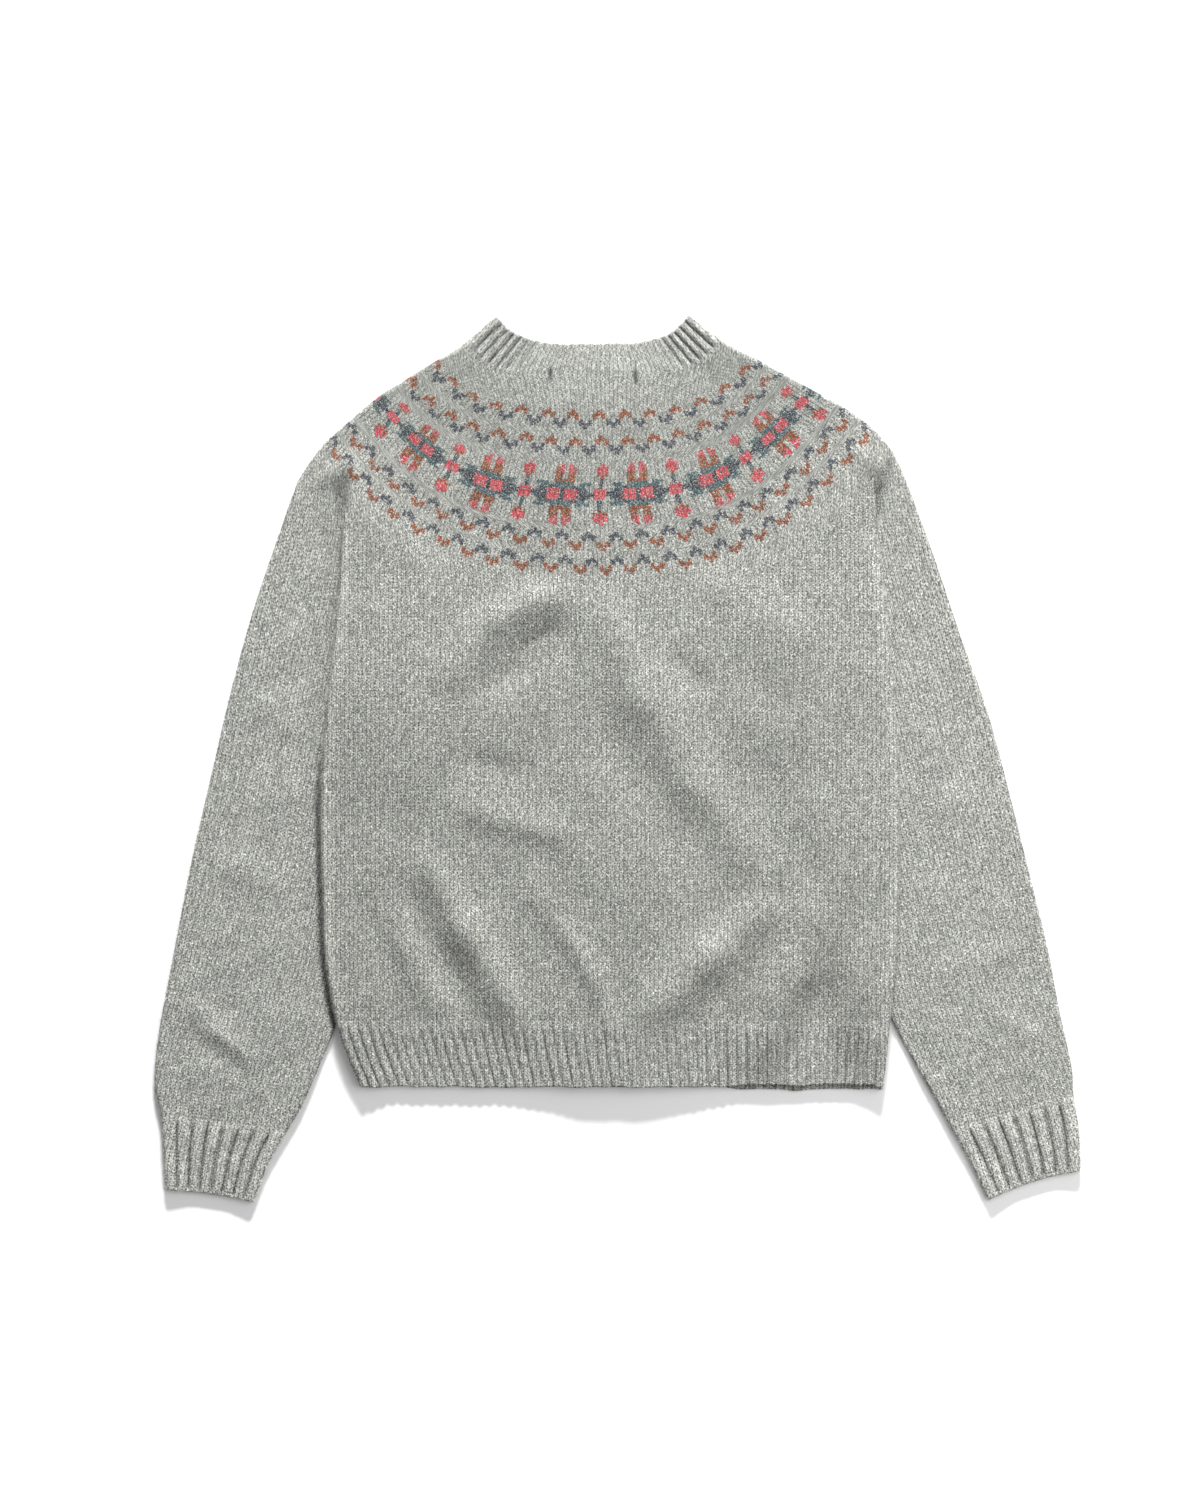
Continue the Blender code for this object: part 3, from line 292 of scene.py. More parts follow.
# Bands of the yoke: depth of the middle row, direction towards the neck or the hem, and stitch width
PEERIE_BANDS = table(
    "depth direction wale",
    (39.0, 1.0, 3.69),
    (61.3, 1.0, 3.69),
    (141.5, -1.0, 3.82),
    (162.5, -1.0, 3.8),
)
# The ring on which each depth's length is read: one ring for all of a band
HELD_RINGS = table(
    "depth ring",
    (-30.0, -12.0),
    (0.0, -6.0),
    (30.0, 39.0),
    (48.0, 39.0),
    (52.5, 61.3),
    (70.0, 61.3),
    (77.0, 103.0),
    (129.5, 103.0),
    (132.5, 141.5),
    (150.5, 141.5),
    (153.5, 162.5),
    (172.0, 162.5),
    (196.0, 196.0),
)
STAR_DEPTH = 103.0
STAR_WALE = 3.58
STAR_REPEAT = 18
PEERIE_REPEAT = 6
# Each row of a chart runs from the middle of a motif outwards
PEERIE_CHART = ("R...", "RR..", ".R..", "..S.", "..SS", "...S")
STAR_CHART = (
    "NPPPNNNNPP",
    "NPPPNNT.PP",
    "TTTNTT...N",
    "TTT.TTT..T",
    "RRR......T",
    ".RR......R",
    ".RR.....RP",
    ".PR.....PP",
    ".PP.....PP",
    ".P.......P",
)


def ease(share):
    """A smooth step from 0 to 1, level at both ends."""
    share = np.clip(share, 0.0, 1.0)
    return share * share * (3.0 - 2.0 * share)


def smooth_column(at, knots, values):
    """The cubic through a table's rows, with each row's slope taken from its neighbours."""
    slope = np.gradient(values, knots)
    i = np.clip(np.searchsorted(knots, at) - 1, 0, len(knots) - 2)
    step = knots[i + 1] - knots[i]
    t = np.clip((at - knots[i]) / step, 0.0, 1.0)
    low = (1 + 2 * t) * (1 - t) ** 2 * values[i] + t * (1 - t) ** 2 * step * slope[i]
    high = t**2 * (3 - 2 * t) * values[i + 1] + t**2 * (t - 1) * step * slope[i + 1]
    return low + high


def body_side(y, column):
    """The x of the body's left or right fold at a height above the hem."""
    return smooth_column(y, BODY_SIDES["height"], BODY_SIDES[column])


def centre_front(y):
    """The x of the front opening's middle line."""
    return CENTRE_AT_HEM + CENTRE_LEAN * y


def band_edge(y, right):
    """The x of the front's edge beside the bands."""
    return centre_front(y) + (0.5 if right else -0.5) * (BAND_WIDTH + 0.3)


def fold_relief(x, y, folds):
    """The height that a table of soft folds adds: each is a bell across its line and tapers past its ends."""
    total = np.zeros(np.broadcast(x, y).shape)
    for x0, y0, x1, y1, half_width, rise in zip(*folds.values()):
        length = math.hypot(x1 - x0, y1 - y0)
        along = ((x - x0) * (x1 - x0) + (y - y0) * (y1 - y0)) / length
        across = ((x - x0) * (y1 - y0) - (y - y0) * (x1 - x0)) / length
        reach = length / 2 + 0.6 * half_width
        bell = np.exp(-((across / half_width) ** 2) - 0.9 * ((along - length / 2) / reach) ** 4)
        total = total + rise * bell
    return total


def drift(x, y, size, seed):
    """A smooth uneven field, mostly from -1 to 1: the sum of eight sine waves over four.

    Their directions and phases are seeded, and their lengths are 0.6 to 1.7 times the size.
    """
    draw = np.random.default_rng(seed)
    total = np.zeros(np.broadcast(x, y).shape)
    turns = draw.uniform(0, math.tau, 8)
    lengths = draw.uniform(0.6, 1.7, 8)
    phases = draw.uniform(0, math.tau, 8)
    for turn, length, phase in zip(turns, lengths, phases):
        total += np.sin((x * math.cos(turn) + y * math.sin(turn)) * math.tau / (size * length) + phase)
    return total / 4.0


def ring_point(depth, share, front=False):
    """A point of the yoke ring at a depth below the neckband: share 0 is the left shoulder fold, 1 the right.

    Each half is one cubic curve: it leaves the fold square to the shoulder and is level at its lowest
    point. The rings of the front are lower by the front neck drop, which grows from the armhole inwards.
    """
    depth, share = np.broadcast_arrays(np.asarray(depth, float), np.asarray(share, float))
    on_left = share < 0.5
    t = 1.0 - np.abs(2.0 * share - 1.0)
    column = {name: smooth_column(depth, YOKE_RINGS["depth"], YOKE_RINGS[name]) for name in YOKE_RINGS}
    end_x = np.where(on_left, column["left_x"], column["right_x"])
    end_y = np.where(on_left, column["left_y"], column["right_y"])
    inward = np.where(on_left, 1.0, -1.0)
    half = np.abs(column["low_x"] - end_x)
    near_x = end_x + inward * FOLD_HANDLE * half * math.cos(RING_LEAN)
    near_y = end_y - FOLD_HANDLE * half * math.sin(RING_LEAN)
    far_x = column["low_x"] - inward * LOW_HANDLE * half
    weights = ((1 - t) ** 3, 3 * t * (1 - t) ** 2, 3 * t**2 * (1 - t), t**3)
    x = weights[0] * end_x + weights[1] * near_x + weights[2] * far_x + weights[3] * column["low_x"]
    y = weights[0] * end_y + weights[1] * near_y + (weights[2] + weights[3]) * column["low_y"]
    if front:
        start = 0.06 + (ARMHOLE_SHARE - 0.06) * np.clip(depth / YOKE_DEPTH, 0.0, 1.0) ** 2
        y = y - FRONT_NECK_DROP * ease((t - start) / (1.0 - start))
    return x, y


def ring_crossing(depth, line, right, front=False):
    """The share at which a ring crosses a line, given as a function of y that returns x."""
    shares = np.linspace(1.0, 0.4, 900) if right else np.linspace(0.0, 0.6, 900)
    x, y = ring_point(depth, shares, front)
    past = line(y) - x if right else x - line(y)
    i = int(np.argmax(past >= 0.0))
    return float(shares[i - 1] + (shares[i] - shares[i - 1]) * past[i - 1] / (past[i - 1] - past[i]))


ARMHOLE_SHARE = 0.0
LEFT_ARMHOLE = ring_crossing(YOKE_DEPTH, lambda y: body_side(y, "left") + UNDERARM_GRAFT, False)
RIGHT_ARMHOLE = ring_crossing(YOKE_DEPTH, lambda y: body_side(y, "right") - UNDERARM_GRAFT, True)
ARMHOLE_SHARE = 2.0 * max(LEFT_ARMHOLE, 1.0 - RIGHT_ARMHOLE)
LEFT_BODY_CORNER = ring_crossing(YOKE_DEPTH, lambda y: body_side(y, "left"), False)
RIGHT_BODY_CORNER = ring_crossing(YOKE_DEPTH, lambda y: body_side(y, "right"), True)


def sleeve_lift(x, y, ramp):
    """How far the body is raised by the sleeves under it: full above the sleeve, down a ramp beyond it."""
    left_edge = smooth_column(y, LEFT_SLEEVE["inner_y"], LEFT_SLEEVE["inner_x"])
    right_edge = smooth_column(y, RIGHT_SLEEVE["inner_y"], RIGHT_SLEEVE["inner_x"])
    left = 1.0 - (x - left_edge - STACK_MARGIN) / ramp
    right = 1.0 - (right_edge - x - STACK_MARGIN) / ramp
    return SLEEVE_STACK * np.maximum(ease(left), ease(right))


def band_lift_below(x, y):
    """Height of the fronts' lower face beside the bands, which lie on the buttons."""
    off_centre = x - centre_front(y)
    to_left = BUTTON_BAND_LEVEL * ease(1.0 + (off_centre + BAND_WIDTH / 2) / LEFT_FRONT_RAMP)
    to_right = BUTTONHOLE_BAND_LEVEL * ease(1.0 - (off_centre - BAND_WIDTH / 2) / RIGHT_FRONT_RAMP)
    return np.where(off_centre < 0.0, to_left, to_right)


def front_face(x, y):
    """Height of the lower, outer face of the fronts: the floor, the sleeves and the bands under them."""
    below_armhole = ease((LEFT_SLEEVE["inner_y"][-1] - y) / 70.0)
    narrow = STACK_RAMP_AT_ARMHOLE + (STACK_RAMP - STACK_RAMP_AT_ARMHOLE) * below_armhole
    return sleeve_lift(x, y, narrow) + band_lift_below(x, y)


def band_stack(x, y):
    """How far the back is raised by the two button bands and the buttons under them."""
    outside = np.maximum(np.abs(x - centre_front(y)) - BAND_WIDTH / 2, 0.0)
    fade = ease(1.0 - (y - BAND_TOP + 10.0) / 60.0)
    return BUTTON_BAND_LEVEL * ease(1.0 - outside / BAND_RAMP) * fade


def inside_body(x, y):
    """Distance in from the nearer side of the body, less than nothing outside it."""
    return np.minimum(x - body_side(y, "left"), body_side(y, "right") - x)


def shade(x, y):
    """How much painted shade the upper cloth gets, above 0, or how much painted highlight, below 0.

    Painted shade: a bell just outside the left fold of the body, low down, in the tuck's shade; one in each
    armhole crease; one at each tack of the neck. Painted highlight: a wide bell along both folds of the body.
    """
    inside = inside_body(x, y)
    low_left = (x < 0.0) * ease((y - 20.0) / 40.0) * ease((320.0 - y) / 90.0)
    # Painted shade on the sleeve just outside the body's lower left fold, in the tuck
    tuck = 1.3 * np.exp(-(((inside + 2.6) / 2.3) ** 2)) * low_left
    creases = fold_relief(x, y, ARMHOLE_SHADE) * ease(0.5 - inside / 3.0)
    # Painted highlight along both folds of the body, standing in for light caught by the rounded edge
    painted_highlight = np.exp(-(((inside - 4.5) / 5.0) ** 2)) * ease((y - 30.0) / 60.0) * ease((500.0 - y) / 60.0)
    # The tacks' dents get painted shade as well
    return tuck + creases - 1.2 * fold_relief(x, y, LABEL_TACKS) - painted_highlight


def loft(x, y):
    """Uneven rise of the relaxed cloth between its folds."""
    return 0.4 * drift(x, y, 92.0, 3) + 0.3 * drift(x, y, 41.0, 4)


def soft_floor(air, least):
    """Keeps a height above the least one, with a soft bend.

    It is the least, plus half the sum of the rest and of the root of the rest's square plus 1.2.
    """
    over = air - least
    return least + 0.5 * (over + np.sqrt(over * over + 1.2))


def back_face(x, y, below):
    """Height of the back's upper face, a distance below the yoke.

    It is the height of the layers below, plus the round of the sides, blended into the air under soft folds.
    """
    tall = 2 * BODY_ROLL - REST_HEIGHT
    side = ease(1.0 - (inside_body(x, y) - BODY_ROLL) / ROLL_FADE) * ease(below / 30.0)
    side = side * (1.0 - 0.75 * ease((y - 230.0) / 120.0))
    air = soft_floor(PUFF + fold_relief(x, y, BACK_FOLDS) + loft(x, y), LEAST_AIR)
    at_hem = 0.5 + 0.5 * ease((y - HEM_LOW) / 80.0)
    layers = REST_HEIGHT + sleeve_lift(x, y, STACK_RAMP) + band_stack(x, y)
    return layers + tall * side + (1.0 - side) * air * at_hem


def yoke_face(x, y, depth):
    """Height of the upper face of the yoke's back.

    It is the layers, the round of the shoulders, the air under the cloth and the dents of the tacks, added
    up, and it rises over the tucked sleeves at the underarm crease.
    """
    into_yoke = ease((depth - YOKE_DEPTH + CREASE_FADE) / CREASE_FADE)
    crease = ease(inside_body(x, y) / CREASE_WIDTH + 0.25)
    outside = ease(-inside_body(x, y) / 14.0)
    left_x, right_x = ring_point(depth, 0.0)[0], ring_point(depth, 1.0)[0]
    from_fold = np.minimum(x - left_x, right_x - x)
    shoulder = (2 * ARM_ROLL - REST_HEIGHT) * ease(1.0 - (from_fold - 2.0) / ROLL_FADE)
    grown = LEAST_AIR + (PUFF - LEAST_AIR) * ease((depth - 30.0) / 130.0)
    grown = grown + into_yoke * fold_relief(x, y, BACK_FOLDS) + ease((depth - 10.0) / 60.0) * loft(x, y)
    air = soft_floor(grown, 0.3) * ease(from_fold / 32.0)
    air = air * (1.0 - into_yoke * (1.0 - np.maximum(crease, outside)))
    lift = sleeve_lift(x, y, STACK_RAMP) * crease * into_yoke
    tacks = fold_relief(x, y, LABEL_TACKS) + fold_relief(x, y, SHOULDER_FOLDS) * ease(from_fold / 20.0)
    return REST_HEIGHT + lift + band_stack(x, y) + shoulder + air + tacks


def sleeve_face(x, y, rows, sleeve, right):
    """Height of a sleeve's upper face: a soft crown with rounded folds, pressed flat under the body."""
    last = len(sleeve["outer_x"]) - 1.0
    knots = np.arange(last + 1.0)
    place = np.minimum(rows, last)
    inward = -1.0 if right else 1.0
    from_outer = inward * (x - smooth_column(place, knots, sleeve["outer_x"]))
    from_inner = inward * (smooth_column(place, knots, sleeve["inner_x"]) - x)
    free = ease((inward * (body_side(y, "right" if right else "left") - x) - 4.0) / 24.0)
    near_cuff = ease((40.0 - y) / 40.0)
    tall = 2 * ARM_ROLL - REST_HEIGHT
    inner_fold = ease(1.0 - from_inner / ROLL_FADE) * near_cuff
    folds = tall * np.maximum(ease(1.0 - from_outer / ROLL_FADE), inner_fold)
    crown = SLEEVE_CROWN + fold_relief(x, y, SLEEVE_FOLDS)
    crown = crown + 0.45 * drift(x, y, 70.0, 7) + 0.25 * drift(x, y, 30.0, 8)
    crown = crown * ease((rows + 0.3) / 1.6)
    middle = np.maximum(crown, 0.0) * ease(from_outer / 40.0) * ease(from_inner / 30.0)
    shoulder = fold_relief(x, y, SHOULDER_FOLDS) * ease(from_outer / 20.0)
    plain = REST_HEIGHT + free * (folds + middle) + shoulder
    at_yoke = np.where(inside_body(x, y) < 0.0, yoke_face(x, y, YOKE_DEPTH), REST_HEIGHT)
    blend = ease((rows - last + 1.5) / 2.5)
    return plain + blend * (at_yoke - plain)


class Grid:
    """Part of a wall as rows by columns.

    It holds the outer and inner points, their place in the knitting, and the painted shade of valleys and
    tucks, with painted highlight below 0.
    """

    def __init__(self, outer, inner, knit, valley):
        self.outer = outer
        self.inner = inner
        self.knit = knit
        self.valley = valley


def points(x, y, z):
    """Stacks three arrays of one shape into points."""
    return np.stack(np.broadcast_arrays(x, y, z), axis=-1)


def flat_columns(plan, knit, rows, shares, face, upper, ribs=RIB_MEAN, rise=0.0, lip=0.0):
    """Columns of a flat layer.

    The outer face is at face(x, y, rows), and the inner one lies a cloth's thickness in. Ribs, from 0 in a
    valley to 1 on a crest, lift the outer face by the rise about its mean height. On a lower layer the
    crests lie at the face's height, so that none sinks into what it rests on. The lip rounds a free edge by
    drawing both faces together.
    """
    x, y = plan(rows, shares)
    side = 1.0 if upper else -1.0
    level = RIB_MEAN if upper else 1.0
    height = face(x, y, rows)
    outer = points(x, y, height + side * (rise * (ribs - level) - lip))
    inner = points(x, y, height - side * (CLOTH - lip))
    # Painted shade in the ribs' valleys, and on an upper layer the painted shade and highlight of shade()
    valley = (1.0 - ribs) * rise / RIB_RELIEF + upper * shade(x, y)
    return Grid(outer, inner, knit(rows, shares, x, y), valley)


def fold_columns(plan, knit, rows, right, turns, radius, span, upper_face, lower_face, lip=0.0):
    """Columns round a fold: the outer face is half an ellipse whose ends meet the upper and the lower face.

    At a turn of 90 degrees a column is on the upper layer, at 0 on the edge and at -90 on the lower layer.
    """
    turns = np.radians(turns)[None, :]

    def across(distance):
        """The share of the span at a distance in from the fold."""
        share = distance / span
        return 1.0 - share if right else share

    x, y = plan(rows, across(radius * np.ones_like(turns)))
    top, low = upper_face(x, y, rows), lower_face(x, y, rows)
    middle, half = (top + low) / 2, (top - low) / 2
    outside = across(radius * (1 - np.cos(turns)) + lip * np.cos(turns))
    inside = across(radius - (radius - CLOTH + lip) * np.cos(turns))
    outer_x, outer_y = plan(rows, outside)
    inner_x, inner_y = plan(rows, inside)
    outer = points(outer_x, outer_y, middle + (half - lip) * np.sin(turns))
    inner = points(inner_x, inner_y, middle + (half - CLOTH + lip) * np.sin(turns))
    # The folds carry the painted shade and highlight of shade(), mostly the highlight along the body's folds
    return Grid(outer, inner, knit(rows, outside, outer_x, outer_y), shade(outer_x, outer_y))


def joined(parts, backwards=()):
    """Puts grids side by side, some of them with their columns in reverse."""
    flip = [slice(None, None, -1) if i in backwards else slice(None) for i in range(len(parts))]
    return Grid(*(
        np.concatenate([getattr(part, name)[:, way] for part, way in zip(parts, flip)], axis=1)
        for name in ("outer", "inner", "knit", "valley")
    ))


def skin(name, grid, tube=False):
    """Skins a grid of outer and inner points into one closed wall with rims, and turns its faces outwards."""
    row_count, column_count = grid.outer.shape[:2]
    place = np.concatenate([grid.outer.reshape(-1, 3), grid.inner.reshape(-1, 3)])
    place[:, :2] += FRAME_SHIFT
    number = np.arange(row_count * column_count).reshape(row_count, column_count)
    if tube:
        number = np.concatenate([number, number[:, :1]], axis=1)
    inner_number = number + row_count * column_count

    def quads(a, b, c, d):
        """Faces from four equal lists of point numbers."""
        return np.stack([a, b, c, d], axis=-1).reshape(-1, 4)

    faces = [quad_net(number), quad_net(inner_number)[:, ::-1]]
    faces.append(quads(number[0, 1:], number[0, :-1], inner_number[0, :-1], inner_number[0, 1:]))
    faces.append(quads(number[-1, :-1], number[-1, 1:], inner_number[-1, 1:], inner_number[-1, :-1]))
    if not tube:
        faces.append(quads(number[:-1, 0], number[1:, 0], inner_number[1:, 0], inner_number[:-1, 0]))
        faces.append(quads(number[1:, -1], number[:-1, -1], inner_number[:-1, -1], inner_number[1:, -1]))
    faces = np.concatenate(faces)
    corner = place[faces]
    first, second = corner[:, 2] - corner[:, 0], corner[:, 3] - corner[:, 1]
    if (corner.mean(axis=1) * np.cross(first, second)).sum() < 0:
        faces = faces[:, ::-1]
    knit = np.concatenate([grid.knit.reshape(-1, 2)] * 2)
    mesh = mesh_of(name, place * MM, faces, knit)
    valley = mesh.attributes.new("valley", "FLOAT", "POINT")
    valley.data.foreach_set("value", np.concatenate([grid.valley.ravel()] * 2).astype(np.float32))
    return mesh


def quad_net(number):
    """Four-cornered faces over a grid of point numbers."""
    corners = [number[:-1, :-1], number[:-1, 1:], number[1:, 1:], number[1:, :-1]]
    return np.stack(corners, axis=-1).reshape(-1, 4)


def mesh_of(name, place, faces, knit=None, smooth=True):
    """A mesh from arrays of points and of four-cornered faces, with its place in the knitting as a UV map."""
    mesh = bpy.data.meshes.new(name)
    mesh.vertices.add(len(place))
    mesh.vertices.foreach_set("co", place.astype(np.float32).ravel())
    mesh.loops.add(faces.size)
    mesh.loops.foreach_set("vertex_index", faces.astype(np.int32).ravel())
    mesh.polygons.add(len(faces))
    mesh.polygons.foreach_set("loop_start", np.arange(0, faces.size, faces.shape[1], dtype=np.int32))
    mesh.update(calc_edges=True)
    if knit is not None:
        layer = mesh.uv_layers.new(name="knit")
        layer.uv.foreach_set("vector", knit[faces.ravel()].astype(np.float32).ravel())
    mesh.validate()
    if smooth:
        mesh.shade_smooth()
        mesh.set_sharp_from_angle(angle=math.radians(55))
    return mesh


def add_piece(name, mesh, material, slot, *nodes):
    """Puts a mesh in the scene as a piece that rides on the part and stands for the CAD nodes named."""
    mesh.materials.append(material)
    piece = bpy.data.objects.new(name, mesh)
    bpy.context.scene.collection.objects.link(piece)
    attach(piece, "root")
    if nodes:
        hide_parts(*nodes)
    return piece


def flat_knit(rows, shares, x, y):
    """The place in the knitting of a panel whose wales run up the table: its own x and y."""
    return np.stack(np.broadcast_arrays(x, y), axis=-1)


def rib_wave(phase, power=0.45):
    """Relief across ribs, from 0 in a valley to 1 on a crest: a sine to a power, so that crests are broad."""
    return np.abs(np.sin(math.pi * phase)) ** power


def no_ribs(share):
    """Plain knitting, level all over."""
    return RIB_MEAN + 0.0 * share


def body_patch(low, corners, sides, front):
    """The plan of a body panel: a patch between its two sides, its lower line and its yoke seam."""
    start, end = corners
    left_line, right_line = sides
    left_top = ring_point(YOKE_DEPTH, start, front)[1]
    right_top = ring_point(YOKE_DEPTH, end, front)[1]

    def plan(rows, share):
        """A straight-sided patch, moved to the bent sides by how far these are from straight."""
        left_y = low + (left_top - low) * rows
        right_y = low + (right_top - low) * rows
        base_left, base_right = left_line(np.float64(low)), right_line(np.float64(low))
        top_x, top_y = ring_point(YOKE_DEPTH, start + (end - start) * share, front)
        straight_x = (1 - rows) * (base_left + (base_right - base_left) * share) + rows * top_x
        straight_y = (1 - rows) * low + rows * top_y
        fix_left = left_line(left_y) - ((1 - rows) * base_left + rows * left_line(left_top))
        fix_right = right_line(right_y) - ((1 - rows) * base_right + rows * right_line(right_top))
        return straight_x + (1 - share) * fix_left + share * fix_right, straight_y

    return plan


def strip_plan(low, high, left_line, right_line):
    """The plan of a straight strip such as a hem rib."""

    def plan(rows, share):
        """A share of the way between the two sides at each height."""
        y = low + (high - low) * rows
        left, right = left_line(y), right_line(y)
        return left + (right - left) * share, y + 0.0 * share

    return plan


def left_side(y):
    """The body's left fold as a line."""
    return body_side(y, "left")


def right_side(y):
    """The body's right fold as a line."""
    return body_side(y, "right")


def left_band_edge(y):
    """The left front's edge beside the bands as a line."""
    return band_edge(y, False)


def right_band_edge(y):
    """The right front's edge beside the bands as a line."""
    return band_edge(y, True)


def body_wall(rows, plans, low, ribs, rise, lip, counts):
    """The whole body at some rows, from the left front's band round both sides to the right front's band.

    plans has the plans of the left front, the back and the right front. ribs takes shares of the width.
    """
    width = body_side(HEM_TOP, "right") - body_side(HEM_TOP, "left")
    half = width / 2 - BAND_WIDTH / 2
    turns = np.linspace(-90.0, 90.0, 15)

    def upper(x, y, r):
        """The back's face. The hem is far from the yoke."""
        return back_face(x, y, (1.0 - r) * 400.0 if low > 0.0 else 200.0 + 0.0 * x)

    def lower(x, y, r):
        """The fronts' face."""
        return front_face(x, y)

    edge = BODY_ROLL / width
    across = np.linspace(edge, 1.0 - edge, counts[1])[None, 1:-1]
    out = np.linspace(BODY_ROLL / half, 1.0, counts[0])[None, 1:]
    front_ribs = ribs(out / 2)
    left, back, right = plans
    parts = [
        flat_columns(left, flat_knit, rows, out, lower, False, front_ribs, rise, lip),
        fold_columns(back, flat_knit, rows, False, turns, BODY_ROLL, width, upper, lower, lip),
        flat_columns(back, flat_knit, rows, across, upper, True, ribs(across), rise, lip),
        fold_columns(back, flat_knit, rows, True, turns, BODY_ROLL, width, upper, lower, lip),
        flat_columns(right, flat_knit, rows, 1.0 - out, lower, False, front_ribs, rise, lip),
    ]
    return joined(parts, backwards=(0, 3))


def make_body():
    """The body: the back, rolled round both sides onto the two fronts under it."""
    low = HEM_TOP
    band_left = ring_crossing(YOKE_DEPTH, left_band_edge, False, True)
    band_right = ring_crossing(YOKE_DEPTH, right_band_edge, True, True)
    plans = (
        body_patch(low, (LEFT_BODY_CORNER, band_left), (left_side, left_band_edge), True),
        body_patch(low, (LEFT_BODY_CORNER, RIGHT_BODY_CORNER), (left_side, right_side), False),
        body_patch(low, (band_right, RIGHT_BODY_CORNER), (right_band_edge, right_side), True),
    )
    rows = np.linspace(0.0, 1.0, 150)[:, None]
    grid = body_wall(rows, plans, low, no_ribs, 0.0, 0.0, (44, 190))
    return skin("body", grid)


def edge_lip(distance, radius=1.0):
    """How far a wall's faces draw together near a free edge, so that it ends in a rounded lip."""
    inside = np.clip(1.0 - distance / radius, 0.0, 1.0)
    return radius * (1.0 - np.sqrt(np.maximum(1.0 - inside**2, 0.0))) * 0.9


def make_hem_rib():
    """The ribbed hem: a strip round the body with a raised rib for each crest."""
    plans = (
        strip_plan(HEM_LOW, HEM_TOP, left_side, left_band_edge),
        strip_plan(HEM_LOW, HEM_TOP, left_side, right_side),
        strip_plan(HEM_LOW, HEM_TOP, right_band_edge, right_side),
    )
    height = HEM_TOP - HEM_LOW
    at = np.concatenate([[0.0, 0.12, 0.35, 0.7, 1.1], np.linspace(2.4, height, 22)])
    rows = (at / height)[:, None]
    rise = RIB_RELIEF * ease((height - at) / 12.0)[:, None]

    def ribs(share):
        """Ribs whose strength drifts along the hem."""
        strength = 0.78 + 0.2 * ease(1.0 - share / 0.08) + 0.3 * drift(share * 465.0, 0.0, 60.0, 21)
        return 1.0 - strength * (1.0 - rib_wave(share * HEM_RIBS))

    grid = body_wall(rows, plans, 0.0, ribs, rise, edge_lip(at)[:, None], (120, 560))
    under = np.clip(-np.sign(grid.outer[..., 2] - grid.inner[..., 2]), 0.0, 1.0)
    x = grid.outer[..., 0]
    near_edge = ease(1.0 - at / 16.0)[:, None]
    wave = (0.8 * drift(x, 0.0, 46.0, 22) + 0.5 * drift(x, 0.0, 15.0, 23)) * near_edge
    drawn_up = 1.9 * ease((x - 100.0) / 14.0) * ease((232.0 - x) / 12.0) * near_edge
    drop = FRONT_HEM_DROP * ease((x - 96.0) / 30.0) * (1.0 - rows)
    grid.outer[..., 1] += wave + np.where(under > 0.5, -drop, drawn_up)
    grid.inner[..., 1] += wave + np.where(under > 0.5, -drop, drawn_up)
    return skin("hem_rib", grid)


def ring_arc(depths, front):
    """Length along each ring from its lowest point: a row for each depth, over 801 even shares."""
    shares = np.linspace(0.0, 1.0, 801)
    x, y = ring_point(depths, shares[None, :], front)
    steps = np.hypot(np.diff(x, axis=1), np.diff(y, axis=1))
    length = np.concatenate([np.zeros((len(depths), 1)), np.cumsum(steps, axis=1)], axis=1)
    return length - length[:, 400:401]


def along_ring(arc, share):
    """Reads the arc table at shares."""
    place = np.clip(share, 0.0, 1.0) * 800.0
    i = np.minimum(place.astype(int), 799)
    row = np.arange(arc.shape[0])[:, None]
    return arc[row, i] + (arc[row, i + 1] - arc[row, i]) * (place - i)


def ring_knit(front):
    """The place in the yoke's knitting: length along the ring, and depth.

    Within a band the length is read on one ring, so that the wales are radial there. On the front it is
    reckoned on from the shoulder fold.
    """

    def knit(rows, shares, x, y):
        """Length and depth at some rows and shares."""
        middle = np.interp(rows, HELD_RINGS["depth"], HELD_RINGS["ring"])
        shares, _ = np.broadcast_arrays(shares, x)
        back = ring_arc(middle, False)
        along = along_ring(back, shares)
        if front:
            lower = ring_arc(middle, True)
            fold = np.where(shares < 0.5, back[:, :1] - lower[:, :1], back[:, -1:] - lower[:, -1:])
            beyond = np.where(shares < 0.5, lower[:, :1], lower[:, -1:])
            along = 2.0 * beyond - along_ring(lower, shares) + fold
        return np.stack(np.broadcast_arrays(along, rows), axis=-1)

    return knit


